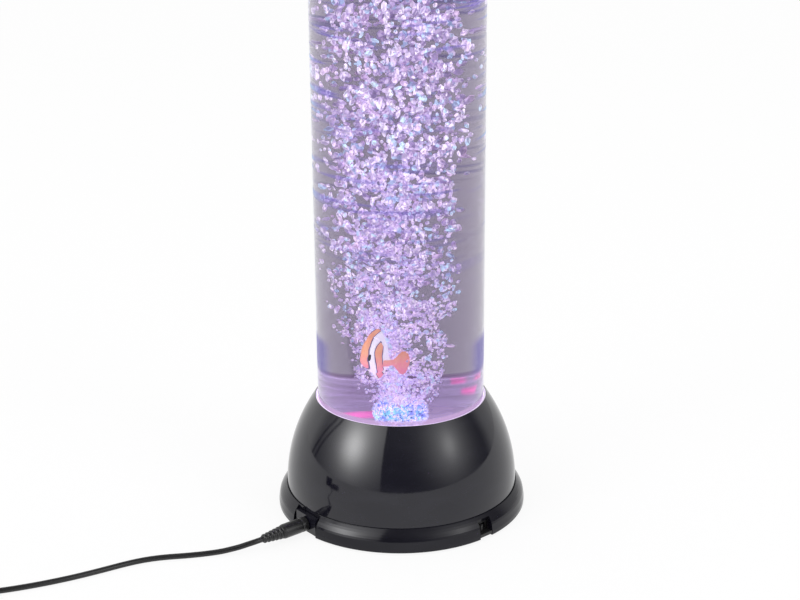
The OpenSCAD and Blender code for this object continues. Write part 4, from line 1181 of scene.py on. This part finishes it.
@dataclass
class Plume:
    """Thousands of bubbles that rise from the stone and spread."""

    shop: Shop
    seed: int = 20
    bottom: float = 78.0
    top: float = 996.0
    zones: int = 10
    spread: Table = (
        (72, 17), (108, 25), (143, 32), (178, 37), (214, 41), (250, 45), (300, 48), (1000, 48.5))
    lean: Table = ((72, 0), (108, -1.5), (143, -5), (178, -4.5), (230, -3), (300, -1))
    sizes: Table = ((72, 0.7), (130, 1.0), (200, 1.3), (260, 1.45), (1000, 1.55))
    crowd: Table = (
        (72, 32), (108, 25), (143, 16), (180, 12), (250, 11), (320, 10), (1000, 8.5))
    wall: float = 51.0
    calm: float = 230.0
    tries: int = 4
    fish: tuple[Spot, ...] = ()

    @staticmethod
    def at(table: Sequence[Pair], z: float) -> float:
        """Reads a table of heights and values between its rows."""
        return float(np.interp(z, [row[0] for row in table], [row[1] for row in table]))

    @staticmethod
    def ball() -> tuple[np.ndarray, np.ndarray]:
        """The corners and faces of a regular solid with twenty faces."""
        g = (1 + math.sqrt(5)) / 2
        corners = np.array([
            (-1, g, 0), (1, g, 0), (-1, -g, 0), (1, -g, 0), (0, -1, g), (0, 1, g),
            (0, -1, -g), (0, 1, -g), (g, 0, -1), (g, 0, 1), (-g, 0, -1), (-g, 0, 1)], float)
        faces = np.array([
            (0, 11, 5), (0, 5, 1), (0, 1, 7), (0, 7, 10), (0, 10, 11), (1, 5, 9), (5, 11, 4),
            (11, 10, 2), (10, 7, 6), (7, 1, 8), (3, 9, 4), (3, 4, 2), (3, 2, 6), (3, 6, 8),
            (3, 8, 9), (4, 9, 5), (2, 4, 11), (6, 2, 10), (8, 6, 7), (9, 8, 1)])
        return corners / np.linalg.norm(corners[0]), faces

    def cloud(self, name: str, spots: Sequence[Spot], draw: random.Random) -> bpy.types.Mesh:
        """One mesh of many bubbles.

        Args:
            name: the name of the mesh.
            spots: the middle and the radius of each bubble, in millimetres.
            draw: the source of chance for shape and turn.

        Returns:
            The mesh, in metres.
        """
        corners, faces = self.ball()
        points, index = [], []
        for i, (middle, radius) in enumerate(spots):
            long = draw.choice((1.0, 1.1, 1.25, 1.5, 2.1))
            wide = [radius * draw.uniform(0.75, 1.05) for _ in range(2)]
            scale = np.array([*wide, radius * long])
            turn = np.array(
                Matrix.Rotation(draw.uniform(0, math.tau), 3, "Z")
                @ Matrix.Rotation(draw.gauss(0.0, 0.7), 3, "X")
                @ Matrix.Rotation(draw.uniform(0, math.tau), 3, "Z"))
            lumps = 1 + 0.16 * np.array([draw.uniform(-1, 1) for _ in corners])[:, None]
            points.append((corners * lumps * scale) @ turn.T + np.array(middle))
            index.append(faces + i * len(corners))
        places = (np.concatenate(points) * MM).tolist()
        mesh = mesh_of(name, places, np.concatenate(index).tolist())
        mesh.polygons.foreach_set("use_smooth", [False] * len(mesh.polygons))
        return mesh

    def free(self, x: float, y: float, z: float, size: float) -> bool:
        """Whether a bubble fits inside the wall and hides no fish."""
        if math.hypot(x, y) + 2.2 * size > self.wall:
            return False
        return not any(
            math.hypot(x - home[0], z - home[2]) < room and y < home[1] + 9
            for home, room in self.fish)

    def spots(self, low: float, high: float, draw: random.Random) -> list[Spot]:
        """Places for the bubbles between two heights, in loose clusters."""
        found: list[Spot] = []
        z = low
        while z < high:
            z += 1.0 / self.at(self.crowd, z) * draw.uniform(0.4, 1.0)
            reach = self.at(self.spread, z)
            for _ in range(self.tries):
                r = reach * math.sqrt(draw.random())
                if z < self.calm and draw.random() < 0.5:
                    r *= draw.uniform(0.4, 1.0)
                a = draw.uniform(0, math.tau)
                x, y = r * math.cos(a) + self.at(self.lean, z), r * math.sin(a)
                lump = noise.noise(Vector((x / 17.0, y / 17.0, z / 13.0)))
                edge = 0.55 if x > 28 else 0.3 if x < -30 else 0.0
                if lump > draw.uniform(-0.5, 0.25) + edge:
                    break
            else:
                continue
            size = self.at(self.sizes, z) * draw.choice((0.6, 0.8, 1.0, 1.0, 1.2, 1.45))
            if self.free(x, y, z, size):
                found.append(((x, y, z), size))
        return found

    def build(self) -> None:
        """Fills the column zone by zone."""
        span = (self.top - self.bottom) / self.zones
        for i in range(self.zones):
            draw = random.Random(self.seed + i)
            low = self.bottom + i * span
            spots = self.spots(low, low + span, draw)
            name = f"bubbles_{i + 1}"
            self.shop.piece(name, self.cloud(name, spots, draw), BUBBLES, "clear_hose")


@dataclass
class AirStone:
    """Porous stone at the foot of the column, covered in fizz."""

    shop: Shop
    radius: float = 12.6
    low: float = 61.5
    height: float = 17.0
    seed: int = 5
    rings: int = 41
    sides: int = 96
    fizz: int = 900

    def outward(self, p: Vector) -> Vector:
        """Which way the stone faces at a point."""
        middle = self.low + self.height / 2
        return Vector((p.x, p.y, (p.z - middle) * 1.6)).normalized()

    def surface(self, a: float, t: float) -> Vector:
        """A point on the stone: a turns around it, t runs from its foot (0) to its top (1)."""
        lift = math.sin(math.pi * (t - 0.5))
        r = self.radius * max(0.0, 1 - abs(lift) ** 2.7) ** (1 / 2.2)
        z = self.low + self.height * (0.5 + 0.5 * lift)
        p = Vector((r * math.cos(a), r * math.sin(a), z))
        rough = noise.noise(p / 3.1) * 0.35 + noise.noise(p / 1.3) * 0.18
        return p + self.outward(p) * (rough - 0.55)

    def build(self) -> None:
        """Builds the stone and the bubbles that cling to it."""
        rings = []
        for i in range(self.rings):
            t = i / (self.rings - 1)
            rings.append([
                self.surface(math.tau * k / self.sides, t) * MM for k in range(self.sides)])
        stone = skin(rings, "porous_stone")
        self.shop.piece(stone.name, stone, STONE, "air_stone", replaces=["air_stone"])
        draw = random.Random(self.seed)
        spots = []
        for _ in range(self.fizz):
            p = self.surface(draw.uniform(0, math.tau), draw.uniform(0.2, 0.98))
            size = draw.choice((0.35, 0.5, 0.6, 0.8))
            spots.append((tuple(p + self.outward(p) * draw.uniform(0.0, 1.3)), size))
        fizz = Plume(self.shop).cloud("stone_fizz", spots, draw)
        self.shop.piece(fizz.name, fizz, FIZZ, "clear_hose")


# ---- Fish ----


FINS: tuple[tuple[Sequence[Pair], Sequence[Pair], float], ...] = (
    (((-0.24, -0.07), (-0.25, 0.0), (-0.24, 0.07)),
     ((-0.31, -0.15), (-0.37, -0.26), (-0.44, -0.325), (-0.51, -0.31), (-0.56, -0.19),
      (-0.578, 0.0), (-0.55, 0.17), (-0.48, 0.29), (-0.4, 0.33), (-0.32, 0.26), (-0.27, 0.15)),
     0.35),
    (((0.42, 0.4), (0.3, 0.5), (0.15, 0.45), (0.0, 0.25), (-0.08, 0.06)),
     ((0.53, 0.44), (0.51, 0.62), (0.43, 0.8), (0.32, 0.9), (0.2, 0.91), (0.1, 0.79),
      (0.03, 0.62), (-0.03, 0.44), (-0.07, 0.25), (-0.09, 0.08)),
     0.5),
    (((0.2, -0.12), (0.08, -0.25), (-0.04, -0.15), (-0.08, -0.05)),
     ((0.2, -0.34), (0.14, -0.43), (0.06, -0.46), (-0.01, -0.43), (-0.06, -0.29),
      (-0.09, -0.08)),
     0.4),
)
EYE = ((0.0, -0.6), (1.35, -0.5), (1.35, 0.1), (0.9, 0.4), (0.0, 0.5))


@dataclass
class Fish:
    """A small plastic fish that floats in the column."""

    shop: Shop
    number: int
    home: Point
    yaw: float
    tilt: float
    length: float = 34.0
    height: float = 24.0
    thick: float = 10.0
    nose: float = 0.53
    trunk: float = 0.81
    deep: float = 0.82
    stalk: float = 0.085
    brow: float = 2.2
    eye_t: float = 0.1
    eye_z: float = 3.2
    eye_tall: float = 1.8

    def x(self, t: float) -> float:
        """Where a share of the way from nose (0) to tail root (1) lies."""
        return self.length * (self.nose - self.trunk * t)

    def top(self, t: float) -> float:
        """How far the body reaches above its axis."""
        t = min(1.0, t / self.deep) ** 0.6
        return self.height * (self.stalk + 0.6 * math.sin(math.pi * t) ** 0.9)

    def low(self, t: float) -> float:
        """How far the body reaches below its axis."""
        t = min(1.0, t / self.deep) ** 1.2
        return self.height * (self.stalk + 0.235 * math.sin(math.pi * t) ** 1.1)

    def side(self, t: float) -> float:
        """Half the thickness of the body."""
        return self.thick / 2 * (0.14 + 0.86 * math.sin(math.pi * t ** 0.62))

    def body(self) -> Sheet:
        """The body as points and faces, nose towards +X."""
        rings, sides = 30, 28
        points, faces = [], []
        for i in range(rings):
            t = 0.988 * (i / (rings - 1)) ** 1.6
            full = math.sqrt(max(0.01, 1 - (1 - min(1.0, t / 0.05)) ** 2))
            for k in range(sides):
                a = math.tau * k / sides
                reach = self.top(t) if math.sin(a) > 0 else self.low(t)
                brow = self.brow * max(0.0, math.sin(a)) * max(0.0, 1 - t / 0.35)
                y, z = self.side(t) * math.cos(a), reach * math.sin(a)
                points.append(Vector((self.x(t) + brow, full * y, full * z)))
        for a, b, c, d in grid_faces(rings, sides):
            faces.append((a, d, c, b))
        return points, faces + [face[::-1] for face in ends(rings, sides)]

    @staticmethod
    def even(line: Sequence[Pair], count: int) -> list[Pair]:
        """Resamples a line so that it has that many points."""
        at = np.linspace(0, len(line) - 1, count)
        index = np.arange(len(line))
        xs, ys = (np.interp(at, index, [p[k] for p in line]).tolist() for k in (0, 1))
        return list(zip(xs, ys))

    def fin(self, root: Sequence[Pair], tip: Sequence[Pair], wave: float) -> Sheet:
        """A thin fin between a root line and a tip line, with soft waves.

        Args:
            root: knots along the body, as shares of length and height.
            tip: knots along the free edge.
            wave: how far the free edge sways, in millimetres.

        Returns:
            Points and faces.
        """
        root, tip = (
            [(p.x, p.y) for p in smooth([(x, y, 0.0) for x, y in knots], 4)]
            for knots in (root, tip))
        columns, rows = 13, 7
        root, tip = self.even(root, columns), self.even(tip, columns)
        points, faces = [], []
        for face in (1, -1):
            for j in range(rows):
                v = j / (rows - 1)
                thin = 0.7 * (1 - 0.8 * v) * face
                for i in range(columns):
                    u = i / (columns - 1)
                    x = (root[i][0] + (tip[i][0] - root[i][0]) * v) * self.length
                    z = (root[i][1] + (tip[i][1] - root[i][1]) * v) * self.height
                    y = wave * v * math.sin(math.tau * (u * 1.3 + 0.1)) + thin
                    points.append(Vector((x, y, z)))
        half = rows * columns
        for j in range(rows - 1):
            for i in range(columns - 1):
                a = j * columns + i
                faces.append((a, a + 1, a + 1 + columns, a + columns))
                faces.append((a + half, a + half + columns, a + half + columns + 1, a + half + 1))
        edge = [j * columns for j in range(rows)]
        edge += [(rows - 1) * columns + i for i in range(1, columns)]
        edge += [j * columns + columns - 1 for j in range(rows - 2, -1, -1)]
        edge += list(range(columns - 2, 0, -1))
        for a, b in zip(edge, edge[1:] + edge[:1]):
            faces.append((a, a + half, b + half, b))
        return points, faces

    def build(self) -> None:
        """Joins body, fins and eyes and hangs the fish at its place."""
        parts = [self.body()] + [self.fin(*fin) for fin in FINS]
        points: list[Vector] = []
        faces: list[Face] = []
        for more, sheets in parts:
            start = len(points)
            points += more
            faces += [tuple(start + k for k in sheet) for sheet in sheets]
        mesh = mesh_of(f"striped_fish_{self.number}", [p * MM for p in points], faces)
        body = "fish_" + "abcde"[self.number - 1]
        obj = self.shop.piece(
            mesh.name, mesh, FISH, "fish_orange", body, [f"fish_{self.number}"])
        place = (
            Matrix.Translation(Vector(self.home) * MM)
            @ Matrix.Rotation(math.radians(self.yaw), 4, "Z")
            @ Matrix.Rotation(math.radians(-self.tilt), 4, "Y"))
        obj.matrix_world = place
        tall = Matrix.Diagonal((1.0, 1.0, self.eye_tall, 1.0))
        profile = rounded([(r * MM, z * MM) for r, z in EYE], 0.3 * MM)
        for side, letter in ((1, "a"), (-1, "b")):
            out = (self.side(self.eye_t) - 0.15) * 0.97
            spot = Vector((self.x(self.eye_t), side * out, self.eye_z)) * MM
            eye = lathe(f"fish_eye_{self.number}_{letter}", profile, 20)
            turn = Matrix.Rotation(math.radians(-90 * side), 4, "X")
            eye.transform(Matrix.Translation(spot) @ tall @ turn)
            iris = self.shop.piece(eye.name, eye, FISH_EYE, "fish_orange", body)
            iris.matrix_world = place


# ---- Inner lines ----


@dataclass
class InnerLine:
    """A hose or a twisted pair of wires inside the base, along the line of its CAD solid."""

    shop: Shop
    node: str
    points: Sequence[Point]
    diameter: float
    finishes: Sequence[Finish]
    slot: str
    lay: float = 9.0
    sides: int = 12

    def build(self) -> None:
        """Sweeps each strand smoothly through the points."""
        run = smooth(self.points, 8)
        count = len(self.finishes)
        radius = self.diameter / 2 if count == 1 else self.diameter / 4.2
        points: list[Vector] = []
        faces: list[Face] = []
        owners: list[int] = []
        for k in range(count):
            path = run if count == 1 else self.wound(run, radius, k / count)
            strand = swept(self.node, [p * MM for p in path], radius * MM, self.sides)
            start = len(points)
            points += [v.co.copy() for v in strand.vertices]
            faces += [tuple(start + i for i in f.vertices) for f in strand.polygons]
            owners += [k] * len(strand.polygons)
        mesh = mesh_of(self.node + "_line", points, faces)
        obj = self.shop.piece(mesh.name, mesh, self.finishes[0], self.slot, replaces=[self.node])
        for finish in self.finishes[1:]:
            obj.data.materials.append(finish.material())
        obj.data.polygons.foreach_set("material_index", owners)

    def wound(self, run: Sequence[Vector], radius: float, share: float) -> list[Vector]:
        """Winds one strand of the pair around the middle line."""
        path, gone = [], 0.0
        across = Vector((0, 0, 1))
        for i, p in enumerate(run):
            gone += (p - run[i - 1]).length if i else 0.0
            way = way_at(run, i)
            if abs(across.dot(way)) > 0.9:
                across = Vector((1, 0, 0))
            across = squared(across, way)
            turn = Matrix.Rotation(math.tau * (gone / self.lay + share), 3, way)
            path.append(p + turn @ across * radius)
        return path


@dataclass
class Bellows:
    """Soft rubber cup that the lever of the pump works."""

    shop: Shop
    at: Pair = (-8.0, 14.0)
    low: float = 13.2
    high: float = 18.4

    def build(self) -> None:
        """Turns the folds of the cup."""
        profile = [
            (0.0, 16.8), (5.6, 16.8), (4.6, 15.8), (6.3, 14.0), (6.3, self.low), (7.6, self.low),
            (7.6, 14.0), (6.2, 15.8), (7.0, 17.9), (6.4, self.high), (0.0, self.high)]
        mesh = lathe("bellows_cup", [(r * MM, z * MM) for r, z in rounded(profile, 0.5)], 56)
        mesh.transform(Matrix.Translation((self.at[0] * MM, self.at[1] * MM, 0)))
        obj = placed("bellows_cup", mesh)
        mesh.materials.append(RUBBER.material())
        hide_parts("pump_bellows")
        x, y, low, high = (v * MM for v in (*self.at, self.low, self.high))
        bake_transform(obj)
        LOG.info("piece bellows_cup: %d faces", len(mesh.polygons))


INNER_LINES: tuple[tuple[str, Sequence[Point], float, Sequence[Finish], str], ...] = (
    ("air_hose_lower", (
        (-8, -4.3, 10.7), (-8, -10.8, 10.7), (-8, -15, 12.7), (-9, -18.7, 16.3), (-11, -22.3, 20.2),
        (-12.4, -26, 24.6), (-11.4, -28, 28.2), (-8, -28, 30), (1.7, -28, 30), (7.7, -28, 30)),
     6.4, (HOSE,), "clear_hose"),
    ("air_hose_upper", (
        (20.3, -28, 30), (26.3, -28, 30), (31.3, -27, 31), (34.9, -23.4, 32.4), (36.3, -18, 34.7),
        (35.3, -12, 36.3), (31.3, -6, 37.3), (24.3, -1.5, 37.5), (19.3, 0, 37.5), (12.3, 0, 37.5),
        (5.3, 0, 37.5)),
     6.4, (HOSE,), "clear_hose"),
    ("inlet_lead", (
        (-49.44, -40.32, 6.8), (-46.42, -37.86, 6.8), (-42.54, -34.7, 8.8), (-36, -31, 10.6),
        (-31.5, -28.5, 12.1), (-27.1, -28.5, 12.1)),
     2.2, (RED_WIRE, DARK_PARTS), "red_lead"),
    ("switch_lead", (
        (43.47, -49.13, 6.8), (40.88, -46.21, 6.8), (36.91, -41.72, 8.3), (35.5, -32, 10.6),
        (31.5, -28.5, 12.1), (27.1, -28.5, 12.1)),
     2.2, (RED_WIRE, DARK_PARTS), "red_lead"),
    ("light_lead", (
        (16.1, -34, 12.1), (19, -34.2, 12.7), (22.6, -35.6, 15.7), (24, -36.6, 21.1),
        (24, -36.8, 30), (24, -36.8, 38), (24, -36.8, 42.9)),
     2.2, (WHITE_WIRE, RED_WIRE), "white_lead"),
    ("pump_lead", (
        (3, -21, 14.7), (3, -21, 17.6), (5, -20, 21.6), (10, -16.5, 22.2), (16, -11, 21.6),
        (20, -7, 20.2), (20, -3, 20.2), (20, 3.1, 20.2)),
     2.2, (WHITE_WIRE, DARK_PARTS), "white_lead"),
)

FISH_HOMES = (
    ((-9.5, -25.0, 111.7), 222.0, 12.0),
    ((14.0, 22.0, 390.0), 40.0, 6.0),
    ((-18.0, 16.0, 545.0), 150.0, -8.0),
    ((20.0, -16.0, 700.0), 320.0, 12.0),
    ((-8.0, -22.0, 855.0), 215.0, -5.0))


def main() -> None:
    """Builds the studio, the lead and then the lamp from the floor up."""
    logging.basicConfig(level=logging.INFO, format="%(name)s %(message)s")
    Studio().build()
    shop = Shop()
    Lead(shop).build()
    Base(shop).build()
    Column(shop).build()
    AirStone(shop).build()
    homes = tuple(((x, y, z + 4.0), 17.0) for (x, y, z), _, _ in FISH_HOMES)
    Plume(shop, fish=homes).build()
    for number, (home, yaw, tilt) in enumerate(FISH_HOMES, 1):
        Fish(shop, number, home, yaw, tilt).build()
    for line in INNER_LINES:
        InnerLine(shop, *line).build()
    Bellows(shop).build()
    LOG.info("%d pieces made, %d nodes dressed", shop.made, shop.dressed)


if __name__ == "__main__":
    main()
